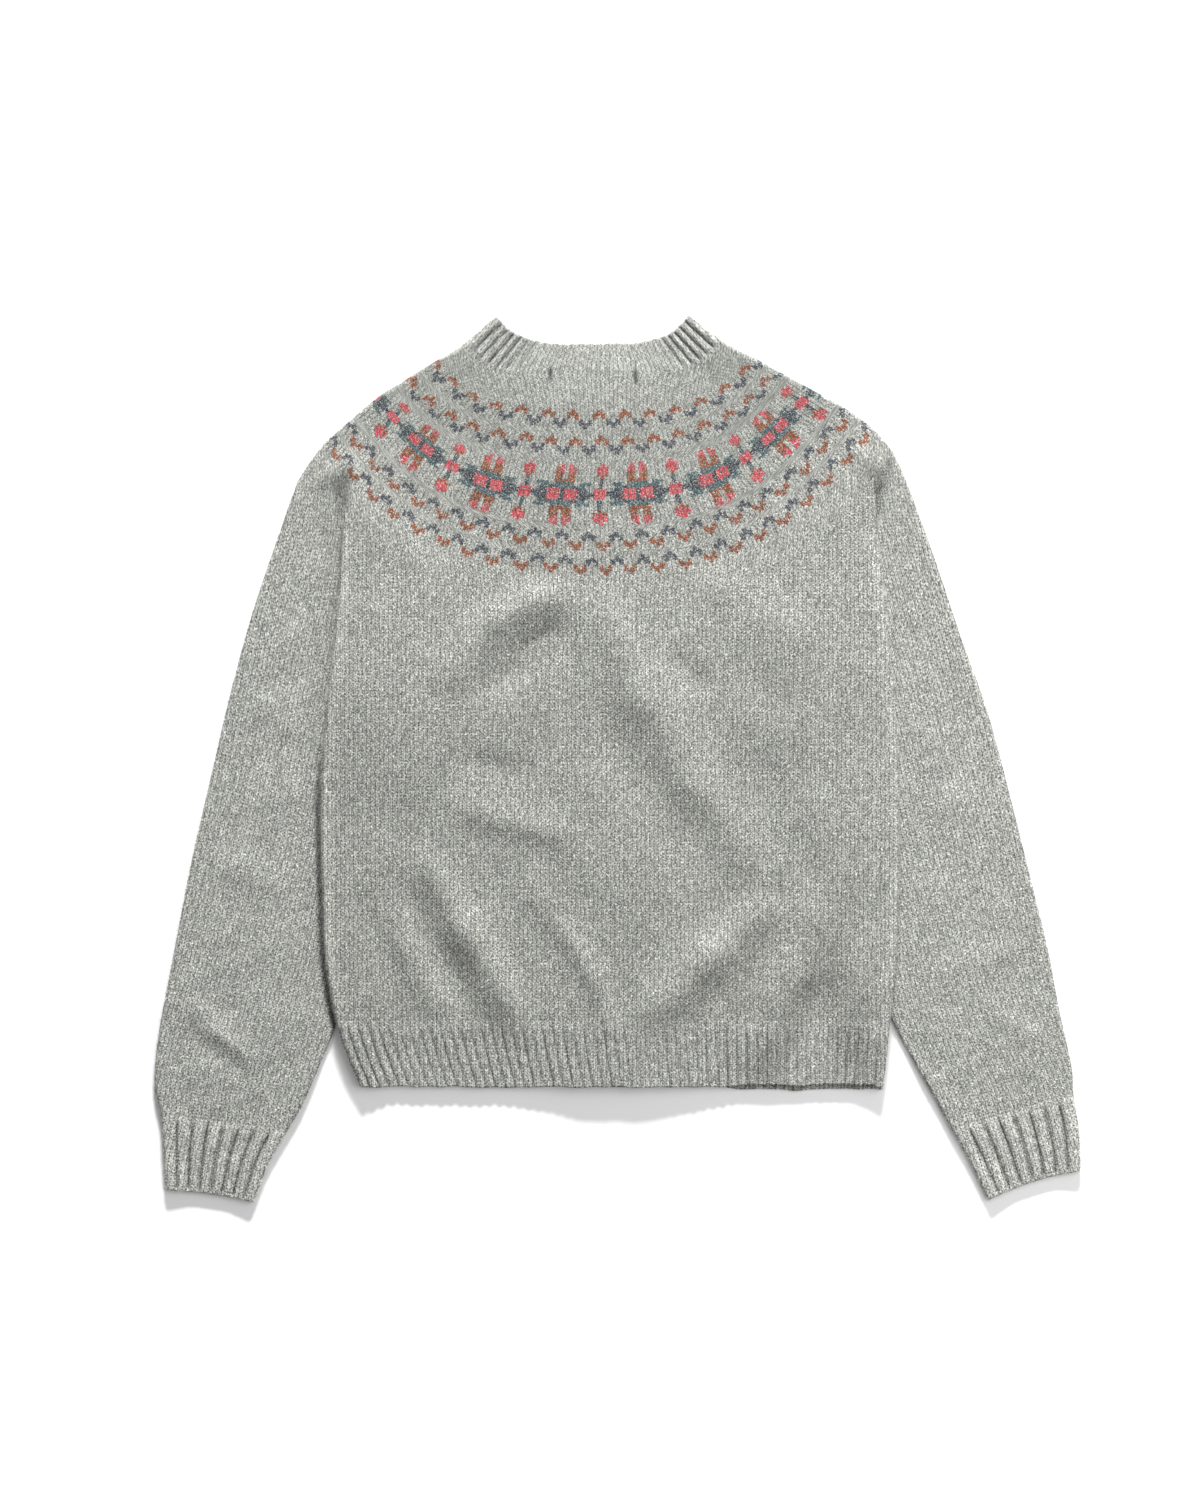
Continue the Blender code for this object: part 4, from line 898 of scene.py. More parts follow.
def ring_wall(rows, shares, steps, ribs, rise=0.0, lip=0.0):
    """A ring of the yoke, from the left front's edge over both shoulders to the right front's edge."""
    left_last = np.array([[ring_crossing(d, left_band_edge, False, True)] for d in rows[:, 0]])
    right_last = np.array([[ring_crossing(d, right_band_edge, True, True)] for d in rows[:, 0]])
    low, left_x, right_x = (
        smooth_column(rows, YOKE_RINGS["depth"], YOKE_RINGS[name]) for name in ("low_x", "left_x", "right_x")
    )
    left_span, right_span = 6.0 * FOLD_HANDLE * (low - left_x), 6.0 * FOLD_HANDLE * (right_x - low)
    left_first, right_first = ARM_ROLL / left_span, 1.0 - ARM_ROLL / right_span
    turns = np.linspace(-90.0, 90.0, 13)

    def lower(x, y, r):
        """The yoke's front lies on the bands."""
        return band_lift_below(x, y)

    def front_plan(r, share):
        """A point of the front's ring."""
        return ring_point(r, share, True)

    back, front = ring_knit(False), ring_knit(True)
    left_shares = left_first + (left_last - left_first) * steps[:, 1:]
    right_shares = right_first + (right_last - right_first) * steps[:, 1:]
    across = left_first + (right_first - left_first) * shares
    parts = [
        flat_columns(front_plan, front, rows, left_shares, lower, False, ribs(left_shares), rise, lip),
        fold_columns(ring_point, back, rows, False, turns, ARM_ROLL, left_span, yoke_face, lower, lip),
        flat_columns(ring_point, back, rows, across, yoke_face, True, ribs(across), rise, lip),
        fold_columns(ring_point, back, rows, True, turns, ARM_ROLL, right_span, yoke_face, lower, lip),
        flat_columns(front_plan, front, rows, right_shares, lower, False, ribs(right_shares), rise, lip),
    ]
    return joined(parts, backwards=(0, 3))


def make_yoke():
    """The round yoke with its bands, one piece from the left front over the shoulders to the right front."""
    rows = np.linspace(0.0, YOKE_DEPTH, 92)[:, None]
    shares = np.linspace(0.0, 1.0, 230)[None, 1:-1]
    steps = np.linspace(0.0, 1.0, 50)[None, :]
    return skin("yoke", ring_wall(rows, shares, steps, no_ribs))


def make_neckband():
    """The ribbed neckband, with a crest for each rib and a softly scalloped edge."""
    at = np.concatenate([[0.0, 0.12, 0.35, 0.7, 1.1], np.linspace(2.2, NECKBAND_HEIGHT, 14)])
    rows = (at - NECKBAND_HEIGHT)[:, None]
    rise = 0.85 * RIB_RELIEF * (ease(at / 2.0) * ease((NECKBAND_HEIGHT - at) / 4.0))[:, None]
    shares = np.linspace(0.0, 1.0, 300)[None, 1:-1]
    steps = np.linspace(0.0, 1.0, 90)[None, :]

    def ribs(share):
        """Ribs that fade towards the middle of the back."""
        beside = ease((np.abs(share - 0.5) - 0.2) / 0.12)
        strength = 0.22 + (0.68 + 0.2 * drift(share * 400.0, 0.0, 26.0, 25)) * beside
        return 1.0 - strength * (1.0 - rib_wave(share * NECK_RIBS / 2, 0.9))

    grid = ring_wall(rows, shares, steps, ribs, rise, edge_lip(at)[:, None])
    x = grid.outer[..., 0]
    bumps = 0.8 * np.abs(np.sin(x * math.pi / 7.4)) + 0.7 * drift(x, 0.0, 22.0, 12)
    scallop = (bumps - 0.5) * ease(1.0 - at / 10.0)[:, None]
    seam = np.exp(-(((at - NECKBAND_HEIGHT + 0.6) / 1.0) ** 2))[:, None]
    grid.valley += 0.5 * seam * (0.6 + 0.4 * np.sin(x * math.tau / 3.6))
    grid.outer[..., 1] += scallop
    grid.inner[..., 1] += scallop
    return skin("neckband", grid)


def sleeve_shape(sleeve, right):
    """The plan, span and fold radii of a sleeve: sections between its folds that bend into the armhole."""
    knots = np.arange(len(sleeve["outer_x"]) + 1.0)
    last = RIGHT_ARMHOLE if right else LEFT_ARMHOLE
    first = 1.0 if right else 0.0
    end_outer = ring_point(YOKE_DEPTH, first)
    end_inner = ring_point(YOKE_DEPTH, last)
    column = {
        "outer_x": np.append(sleeve["outer_x"], end_outer[0]),
        "outer_y": np.append(sleeve["outer_y"], end_outer[1]),
        "inner_x": np.append(sleeve["inner_x"], end_inner[0]),
        "inner_y": np.append(sleeve["inner_y"], end_inner[1]),
    }

    def at(rows):
        """The sleeve's two edges at some rows."""
        return {name: smooth_column(rows, knots, values) for name, values in column.items()}

    def plan(rows, share):
        """A point between the two edges, bent into the armhole's curve and bowed at the cuff."""
        across = 1.0 - share if right else share
        place = at(rows)
        arc_x, arc_y = ring_point(YOKE_DEPTH, first + (last - first) * across)
        chord_x = end_outer[0] + (end_inner[0] - end_outer[0]) * across
        chord_y = end_outer[1] + (end_inner[1] - end_outer[1]) * across
        bend = ease((rows - knots[-1] + 5.0) / 5.0)
        bow = CUFF_BOW[right] * 4.0 * across * (1.0 - across) * ease(1.0 - rows / 0.9)
        x = place["outer_x"] + (place["inner_x"] - place["outer_x"]) * across + bend * (arc_x - chord_x)
        y = place["outer_y"] + (place["inner_y"] - place["outer_y"]) * across + bend * (arc_y - chord_y)
        return x + bow * (-0.3 if right else 0.15), y + bow

    def span(rows):
        """The sleeve's width laid flat."""
        place = at(rows)
        return np.hypot(place["outer_x"] - place["inner_x"], place["outer_y"] - place["inner_y"])

    def inner_roll(rows):
        """The inner fold's radius: less where the body presses on it."""
        hidden = ease((at(rows)["inner_y"] - 10.0) / 45.0)
        return ARM_ROLL + (PRESSED_ROLL - ARM_ROLL) * hidden

    return plan, span, inner_roll, knots[-1]


def sleeve_wall(sleeve, right, rows, counts, ribs, rise=0.0, lip=0.0):
    """A flattened tube at some rows, all the way round."""
    plan, span, inner_roll, last = sleeve_shape(sleeve, right)
    width = span(rows)
    outer_roll = ARM_ROLL + 0.0 * rows
    left_roll, right_roll = (inner_roll(rows), outer_roll) if right else (outer_roll, inner_roll(rows))
    fine = np.linspace(0.0, last, 400)
    middle = plan(fine, 0.5)
    length = np.concatenate([[0.0], np.cumsum(np.hypot(np.diff(middle[0]), np.diff(middle[1])))])

    def knit(r, share, x, y):
        """Distance from the sleeve's middle line, and length up it."""
        up = np.interp(r, fine, length)
        return np.stack(np.broadcast_arrays((share - 0.5) * span(r), up), axis=-1)

    def low_knit(r, share, x, y):
        """The same on the lower layer, which runs the other way."""
        return knit(r, share, x, y) * np.array([-1.0, 1.0]) + np.array([WALE * 40, 0.0])

    def upper(x, y, r):
        """The sleeve's upper face."""
        return sleeve_face(x, y, r, sleeve, right)

    def lower(x, y, r):
        """The surface that the sleeve lies on."""
        return 0.0 * x

    turns = np.linspace(-90.0, 90.0, 13)
    first, final = left_roll / width, 1.0 - right_roll / width
    shares = first + (final - first) * np.linspace(0.0, 1.0, counts[0])[None, 1:-1]
    low_shares = first + (final - first) * np.linspace(0.0, 1.0, counts[1])[None, 1:-1]
    parts = [
        fold_columns(plan, knit, rows, False, turns, left_roll, width, upper, lower, lip),
        flat_columns(plan, knit, rows, shares, upper, True, ribs(shares), rise, lip),
        fold_columns(plan, knit, rows, True, turns, right_roll, width, upper, lower, lip),
        flat_columns(plan, low_knit, rows, low_shares, lower, False, lip=lip),
    ]
    return joined(parts, backwards=(2, 3))


def make_sleeve(name, sleeve, right):
    """A sleeve from its cuff to the armhole."""
    last = float(len(sleeve["outer_x"]))
    rows = np.linspace(CUFF_ROW, last, 210)[:, None]
    return skin(name, sleeve_wall(sleeve, right, rows, (74, 40), no_ribs), tube=True)


def make_cuff(name, sleeve, right):
    """A ribbed cuff with a rounded lip at its free edge."""
    rows = np.concatenate([[0.0, 0.004, 0.01, 0.02, 0.033], np.linspace(0.07, CUFF_ROW, 26)])[:, None]
    rise = 1.25 * RIB_RELIEF * ease((CUFF_ROW - rows) / 0.3) * ease(rows / 0.12)

    def ribs(share):
        """Even ribs along the cuff."""
        return rib_wave(share * CUFF_RIBS, 0.48)

    grid = sleeve_wall(sleeve, right, rows, (110, 60), ribs, rise, edge_lip(rows * 33.0))
    return skin(name, grid, tube=True)


def make_band_mesh(name, level):
    """A straight front band with ribs along it, from the hem to the neck."""
    rows = np.linspace(HEM_LOW, BAND_TOP, 60)[:, None]
    offsets = np.linspace(-BAND_WIDTH / 2, BAND_WIDTH / 2, 43)[None, :]
    lip = edge_lip(BAND_WIDTH / 2 - np.abs(offsets)) + edge_lip(np.minimum(rows - HEM_LOW, BAND_TOP - rows))
    ribs = 0.35 * (1.0 - rib_wave((offsets / BAND_WIDTH + 0.5) * 7.0))
    x = centre_front(rows) + offsets
    lip = np.minimum(lip, 0.95)
    outer = points(x, rows, level + lip + ribs * (lip < 0.01))
    inner = points(x, rows, level + CLOTH - lip)
    # The bands' rib valleys get painted shade through the valley attribute
    return skin(name, Grid(outer, inner, flat_knit(rows, offsets, x, rows + 0.0 * x), ribs / 0.35 + 0.0 * x))


def button_spots(level):
    """Table points of the buttons at a height, evenly spaced up the opening's middle line."""
    heights = BUTTON_FIRST + BUTTON_PITCH * np.arange(BUTTON_COUNT)
    return [(centre_front(y), y, level) for y in heights]


def turned(profile, around):
    """A closed profile of radii and heights turned about Z: points and faces of a ring-shaped solid."""
    angles = np.arange(around) * math.tau / around
    radius, height = np.array(profile).T
    x = radius[:, None] * np.cos(angles)[None, :]
    y = radius[:, None] * np.sin(angles)[None, :]
    place = points(x, y, height[:, None] + 0.0 * x).reshape(-1, 3)
    number = np.arange(len(profile) * around).reshape(len(profile), around)
    return place, quad_net(np.pad(number, 1, mode="wrap")[1:, 1:])


def copies(shape, spots):
    """The same points and faces at every spot, as one shape. Spots are x, y and z."""
    place, faces = shape
    spots = np.asarray(spots, float)
    every = (place[None, :, :] + spots[:, None, :]).reshape(-1, 3)
    return every, (faces[None, :, :] + len(place) * np.arange(len(spots))[:, None, None]).reshape(-1, 4)


def strand(radius, length, high):
    """A bulging thread along X at a height: a tube whose radius grows from its ends as the root of a sine."""
    along = np.linspace(0.0, 1.0, 9)[:, None]
    around = (np.arange(10) * math.tau / 10)[None, :]
    thick = radius * np.sqrt(np.sin(math.pi * np.clip(along, 0.02, 0.98)))
    place = points((along - 0.5) * length, thick * np.cos(around), high + thick * np.sin(around))
    place = place.reshape(-1, 3)
    number = np.arange(90).reshape(9, 10)
    return place, quad_net(np.concatenate([number, number[:, :1]], axis=1).T)


def cut_out(mesh, cutter):
    """The mesh less the cutter, as a new mesh."""
    objects = [bpy.data.objects.new("cut", item) for item in (mesh, cutter)]
    for item in objects:
        bpy.context.scene.collection.objects.link(item)
    modifier = objects[0].modifiers.new("cut", "BOOLEAN")
    modifier.object = objects[1]
    modifier.solver = "EXACT"
    seen = objects[0].evaluated_get(bpy.context.evaluated_depsgraph_get())
    made = bpy.data.meshes.new_from_object(seen)
    made.name = mesh.name
    for item in objects:
        bpy.data.objects.remove(item)
    return made


def make_slits():
    """A long narrow box through the buttonhole band at each button."""
    ring = [(-1, -1), (1, -1), (1, 1), (-1, 1)]
    corner = np.array([(x, y, z) for z in (-1, 1) for x, y in ring])
    faces = np.array([(0, 3, 2, 1), (4, 5, 6, 7), (0, 1, 5, 4), (1, 2, 6, 5), (2, 3, 7, 6), (3, 0, 4, 7)])
    box = corner * np.array([BUTTONHOLE_LENGTH / 2, BUTTONHOLE_WIDTH / 2, 2 * CLOTH])
    place, faces = copies((box, faces), button_spots(BUTTONHOLE_BAND_LEVEL + CLOTH / 2))
    place[:, :2] += FRAME_SHIFT
    return mesh_of("slits", place * MM, faces, smooth=False)


def make_button():
    """A plain four-hole button, face down: a turned profile with a rim and a dished face, and four holes."""
    rim, thick = BUTTON_RADIUS, BUTTON_THICKNESS
    profile = [
        (0.05, thick), (rim * 0.8, thick), (rim * 0.93, thick * 0.9), (rim, thick * 0.6),
        (rim * 0.98, thick * 0.25), (rim * 0.9, 0.0), (rim * 0.78, 0.0), (rim * 0.7, thick * 0.16),
        (rim * 0.5, thick * 0.22), (0.05, thick * 0.22),
    ]
    place, faces = turned(profile, 40)
    body = mesh_of("button", place * MM, faces[:, ::-1])
    pin = turned([(0.02, -1.0), (HOLE_RADIUS, -1.0), (HOLE_RADIUS, 4.0), (0.02, 4.0)], 12)
    corners = [(x, y, 0.0) for x in (-HOLE_OFFSET, HOLE_OFFSET) for y in (-HOLE_OFFSET, HOLE_OFFSET)]
    place, faces = copies(pin, corners)
    return cut_out(body, mesh_of("pins", place * MM, faces))


def make_buttons_mesh():
    """Every button, as copies of one along the opening."""
    button = make_button()
    button.calc_loop_triangles()
    place = np.empty(len(button.vertices) * 3)
    button.vertices.foreach_get("co", place)
    faces = np.empty(len(button.loop_triangles) * 3, dtype=np.int32)
    button.loop_triangles.foreach_get("vertices", faces)
    place, faces = place.reshape(-1, 3), faces.reshape(-1, 3)
    spots = np.array(button_spots(0.0)) + np.array([*FRAME_SHIFT, 0.0])
    every = (place[None, :, :] + spots[:, None, :] * MM).reshape(-1, 3)
    number = (faces[None, :, :] + len(place) * np.arange(len(spots))[:, None, None]).reshape(-1, 3)
    return mesh_of("buttons", every, number)


def make_threads():
    """Two crossed threads on the face of each button."""
    place, faces = strand(THREAD_RADIUS, 2.9 * HOLE_OFFSET, THREAD_RADIUS)
    spots = np.array(button_spots(0.0)) + np.array([*FRAME_SHIFT, 0.0])
    shapes = []
    for angle in (45.0, -45.0):
        c, d = math.cos(math.radians(angle)), math.sin(math.radians(angle))
        turn = np.array([(c, d, 0.0), (-d, c, 0.0), (0.0, 0.0, 1.0)])
        shapes.append(copies((place @ turn, faces), spots))
    every = np.concatenate([shape[0] for shape in shapes])
    number = np.concatenate([shapes[0][1], shapes[1][1] + len(shapes[0][0])])
    return mesh_of("threads", every * MM, number)


def make_fuzz(pieces, count):
    """Loose fibres: each is a ribbon of two bent steps that stands out of the cloth along its normal.

    They start at seeded random faces of the outer walls, by area, and mostly where the cloth turns away
    from the viewer above, so that the outline is soft.
    """
    draw = np.random.default_rng(31)
    centres, normals, weights = [], [], []
    for piece in pieces:
        faces = piece.data.polygons
        outer = len(faces) * 12 // 25
        widths = {"center": 3, "normal": 3, "area": 1}
        values = {name: np.empty(len(faces) * width) for name, width in widths.items()}
        for name, value in values.items():
            faces.foreach_get(name, value)
        normal = values["normal"].reshape(-1, 3)[:outer]
        steep = np.clip((0.75 - normal[:, 2]) / 0.3, 0.035, 1.0) * (normal[:, 2] > -0.4)
        centres.append(values["center"].reshape(-1, 3)[:outer])
        normals.append(normal)
        weights.append(values["area"][:outer] * steep)
    centres, normals, weights = (np.concatenate(part) for part in (centres, normals, weights))
    chosen = draw.choice(len(weights), count, p=weights / weights.sum())
    start, out = centres[chosen], normals[chosen]
    lean = draw.normal(0.0, 0.75, (count, 3))
    bend = draw.normal(0.0, 0.55, (count, 3))
    first = out + lean
    first /= np.linalg.norm(first, axis=1)[:, None]
    second = first + bend
    second /= np.linalg.norm(second, axis=1)[:, None]
    reach = draw.uniform(*FIBRE_STEP, (count, 1)) * MM
    middle = start + first * reach
    end = middle + second * reach
    middle[:, 2] = np.maximum(middle[:, 2], LOWEST_FIBRE * MM)
    end[:, 2] = np.maximum(end[:, 2], LOWEST_FIBRE * MM)
    side = np.cross(first, draw.normal(0.0, 1.0, (count, 3)))
    side *= FIBRE_HALF_WIDTH * MM / np.linalg.norm(side, axis=1)[:, None]
    tip = side / 3
    place = np.stack([start - side, start + side, middle + side, middle - side, end + tip, end - tip], axis=1)
    number = 6 * np.arange(count)[:, None]
    faces = np.stack([number + [0, 1, 2, 3], number + [3, 2, 4, 5]], axis=1).reshape(-1, 4)
    return mesh_of("fuzz", place.reshape(-1, 3), faces, smooth=False)


class Paint:
    """Adds shader nodes to a tree. Inputs are numbers, colours or other nodes' outputs, in their order."""

    def __init__(self, tree):
        self.tree = tree

    def node(self, kind, *inputs, out=0, **settings):
        """Adds a node of a kind and returns one of its outputs."""
        made = self.tree.nodes.new("ShaderNode" + kind)
        for name, value in settings.items():
            setattr(made, name, value)
        for socket, value in zip(made.inputs, inputs):
            self.put(socket, value)
        return made.outputs[out]

    def put(self, socket, value):
        """Links a socket to an output, or sets its value."""
        if isinstance(value, bpy.types.NodeSocket):
            self.tree.links.new(value, socket)
        elif value is not None:
            socket.default_value = value

    def math(self, operation, *inputs):
        """One arithmetic step."""
        return self.node("Math", *inputs, operation=operation)

    def plus(self, a, b):
        """Adds."""
        return self.math("ADD", a, b)

    def less(self, a, b):
        """Subtracts."""
        return self.math("SUBTRACT", a, b)

    def times(self, a, b):
        """Multiplies."""
        return self.math("MULTIPLY", a, b)

    def over(self, a, b):
        """Divides."""
        return self.math("DIVIDE", a, b)

    def scaled(self, a, b, c):
        """The product of the first two, plus the third."""
        return self.math("MULTIPLY_ADD", a, b, c)

    def mix(self, share, a, b, blend="MIX"):
        """A share of colour b over colour a."""
        made = self.tree.nodes.new("ShaderNodeMix")
        made.data_type = "RGBA"
        made.blend_type = blend
        for place, value in zip((0, 6, 7), (share, a, b)):
            self.put(made.inputs[place], value)
        return made.outputs[2]

    def noise(self, vector, scale, detail=2.0, rough=0.5, out=0):
        """Smooth noise of a scale: its value, or its colour from output 1."""
        return self.node("TexNoise", vector, None, scale, detail, rough, out=out)

    def spread(self, value, low, high, to_low=0.0, to_high=1.0):
        """Maps the range from low to high onto another, and stops at its ends."""
        return self.node("MapRange", value, low, high, to_low, to_high)

    def group(self, group, *inputs):
        """Adds a node group and returns its outputs."""
        made = self.tree.nodes.new("ShaderNodeGroup")
        made.node_tree = group
        for socket, value in zip(made.inputs, inputs):
            self.put(socket, value)
        return made.outputs


def new_group(name, inputs, outputs):
    """A shader node group with named sockets: returns it, a Paint for it, its inputs and its end node."""
    group = bpy.data.node_groups.new(name, "ShaderNodeTree")
    kinds = {"vector": "NodeSocketVector", "value": "NodeSocketFloat", "colour": "NodeSocketColor"}
    for label, kind in inputs:
        group.interface.new_socket(name=label, in_out="INPUT", socket_type=kinds[kind])
    for label, kind in outputs:
        group.interface.new_socket(name=label, in_out="OUTPUT", socket_type=kinds[kind])
    start = group.nodes.new("NodeGroupInput")
    end = group.nodes.new("NodeGroupOutput")
    return group, Paint(group), start.outputs, end


def stitch_group():
    """Stocking stitch: each stitch is a V of two legs, whose row rises away from the wale's middle.

    A leg's height is a sine across it to the power 0.6, times a sine along its row. The Hollow output is
    what is left between the legs, a mask for painted shade, and the tone is one random number for each leg.
    """
    group, paint, given, end = new_group(
        "stocking_stitch",
        [("Place", "vector"), ("Wale", "value"), ("Course", "value"), ("Wander", "value")],
        [("Height", "value"), ("Hollow", "value"), ("Tone", "value")],
    )
    place, wale, course, wander = given[0], given[1], given[2], given[3]
    split = paint.node("SeparateXYZ", place)
    across, up = split, split.node.outputs[1]
    soft = paint.noise(place, 0.11, 2.0, 0.6)
    bend = paint.times(paint.less(soft, 0.5), wander)
    fine = paint.node("TexNoise", place, None, 0.42, 2.0, 0.6, out=1)
    apart = paint.node("SeparateXYZ", fine)
    side_step = paint.scaled(paint.less(apart, 0.5), 0.4, bend)
    lift_step = paint.times(paint.less(apart.node.outputs[1], 0.5), 0.6)
    column = paint.plus(paint.over(across, wale), side_step)
    leg = paint.math("PINGPONG", column, 0.5)
    slant = paint.times(leg, 1.5)
    row = paint.plus(paint.less(paint.over(up, course), slant), lift_step)
    round_leg = paint.math("SINE", paint.scaled(leg, -5.2, 2.6))
    round_row = paint.math("SINE", paint.times(paint.math("FRACT", row), math.pi))
    height = paint.times(paint.math("POWER", paint.math("MAXIMUM", round_leg, 0.0), 0.6),
                        paint.scaled(round_row, 0.55, 0.45))
    strand = paint.node("CombineXYZ", paint.math("FLOOR", paint.times(column, 2.0)), paint.math("FLOOR", row))
    chance = paint.node("TexWhiteNoise", strand)
    gap = paint.times(paint.less(1.0, round_leg), paint.less(1.0, round_row))
    paint.put(end.inputs[0], height)
    paint.put(end.inputs[1], paint.scaled(gap, 0.6, paint.scaled(height, -0.5, 0.5)))
    paint.put(end.inputs[2], chance)
    return group


def heather_group():
    """Heathered fibre: streaks of darker and lighter hair over a base colour, and its fuzz as a height.

    The hairs lie where a fine noise plus a stretched noise is low or high, and broad noise shades the whole.
    """
    group, paint, given, end = new_group(
        "heather_fibre",
        [
            ("Place", "vector"), ("Base", "colour"), ("Dark Hair", "colour"), ("Light Hair", "colour"),
            ("Strength", "value"), ("Contrast", "value"),
        ],
        [("Colour", "colour"), ("Fuzz", "value")],
    )
    place, base, dark, light, strength, contrast = (given[i] for i in range(6))
    grain = paint.noise(place, 0.66, 3.0, 0.8)
    streak_place = paint.node("Mapping", place, None, (0.0, 0.0, 0.62), (0.9, 0.5, 1.0))
    streak = paint.noise(streak_place, 1.0, 2.0, 0.65)
    other_place = paint.node("Mapping", place, None, (0.0, 0.0, -0.62), (0.9, 0.5, 1.0))
    other = paint.noise(other_place, 1.05, 2.0, 0.65)
    broad = paint.noise(place, 0.035, 3.0, 0.55)
    dark_hair = paint.spread(paint.plus(grain, paint.times(streak, 0.9)), 0.95, 0.68)
    light_hair = paint.spread(paint.plus(grain, paint.times(other, 0.9)), 1.0, 1.34)
    colour = paint.mix(paint.times(dark_hair, strength), base, dark)
    colour = paint.mix(paint.times(light_hair, strength), colour, light)
    cloud = paint.scaled(paint.noise(place, 0.16, 2.0, 0.7), 0.7, paint.times(broad, 0.3))
    shade = paint.times(paint.spread(cloud, 0.3, 0.7, 0.8, 1.18), paint.spread(grain, 0.32, 0.66, 0.3, 1.5))
    tone = paint.node("CombineXYZ", shade, shade, shade)
    paint.put(end.inputs[0], paint.mix(contrast, colour, tone, "MULTIPLY"))
    paint.put(end.inputs[1], paint.plus(paint.times(grain, 0.6), paint.times(streak, 0.4)))
    return group


YARN = {
    "R": (0.185, 0.042, 0.008, 1.0),
    "N": (0.02, 0.024, 0.038, 1.0),
    "S": (0.035, 0.041, 0.058, 1.0),
    "T": (0.032, 0.07, 0.08, 1.0),
    "P": (0.39, 0.036, 0.053, 1.0),
}


def chart_colour(paint, chart, column, row):
    """Looks a stitch up in a chart: a stepped ramp for each row, read by column, kept where the row fits."""
    colour, mask = None, None
    width = len(chart[0])
    for number, stitches in enumerate(chart):
        ramp = paint.tree.nodes.new("ShaderNodeValToRGB")
        ramp.color_ramp.interpolation = "CONSTANT"
        paint.put(ramp.inputs[0], paint.over(paint.plus(column, 0.5), width))
        stops = ramp.color_ramp.elements
        starts = [i for i in range(width) if i == 0 or stitches[i] != stitches[i - 1]]
        while len(stops) < max(2, len(starts)):
            stops.new(0.5)
        while len(stops) > max(2, len(starts)):
            stops.remove(stops[-1])
        for stop, i in zip(stops, starts + [width]):
            yarn = YARN.get(stitches[min(i, width - 1)])
            stop.position = i / width
            stop.color = yarn if yarn else (0.0, 0.0, 0.0, 0.0)
        here = paint.math("COMPARE", row, float(number), 0.45)
        lit = paint.node("VectorMath", ramp.outputs[0], None, None, None, operation="SCALE")
        paint.put(lit.node.inputs["Scale"], here)
        seen = paint.times(ramp.outputs[1], here)
        colour = lit if colour is None else paint.node("VectorMath", colour, lit, operation="ADD")
        mask = seen if mask is None else paint.plus(mask, seen)
    return colour, mask


def yoke_chart_group():
    """The yoke's bands: four small zigzag bands share a chart, and the star band's is mirrored both ways.

    The column is the length along the ring in wales, folded at half a repeat. The row is the distance from
    the band's middle in courses.
    """
    group, paint, given, end = new_group(
        "fair_isle_bands",
        [("Place", "vector"), ("Slant", "value"), ("Side Step", "value")],
        [("Colour", "colour"), ("Mask", "value")],
    )
    place, slant, side_step = given[0], given[1], given[2]
    split = paint.node("SeparateXYZ", place)
    along, depth = split, split.node.outputs[1]
    row, wale = -9.0, STAR_WALE
    for middle, direction, band_wale in zip(*PEERIE_BANDS.values()):
        inside = paint.math("COMPARE", depth, middle, 10.2)
        own = paint.scaled(paint.less(depth, middle), direction / COURSE, 2.5)
        own = paint.plus(own, slant)
        row = paint.plus(paint.times(paint.less(own, row), inside), row)
        wale = paint.plus(paint.times(paint.less(band_wale, wale), inside), wale)
    column = paint.plus(paint.over(along, wale), side_step)
    folded = paint.math("ROUND", paint.math("PINGPONG", column, PEERIE_REPEAT / 2))
    small, small_mask = chart_colour(paint, PEERIE_CHART, folded, paint.math("ROUND", row))
    star_row = paint.plus(paint.over(paint.less(depth, STAR_DEPTH), COURSE), slant)
    star_column = paint.plus(paint.over(along, STAR_WALE), side_step)
    star_column = paint.math("PINGPONG", paint.plus(star_column, STAR_REPEAT / 2), STAR_REPEAT / 2)
    star_row = paint.less(paint.math("ABSOLUTE", star_row), 0.25)
    star_row = paint.math("ROUND", paint.math("MAXIMUM", star_row, 0.0))
    large, large_mask = chart_colour(paint, STAR_CHART, paint.math("ROUND", star_column), star_row)
    paint.put(end.inputs[0], paint.node("VectorMath", small, large, operation="ADD"))
    paint.put(end.inputs[1], paint.math("MINIMUM", paint.plus(small_mask, large_mask), 1.0))
    return group


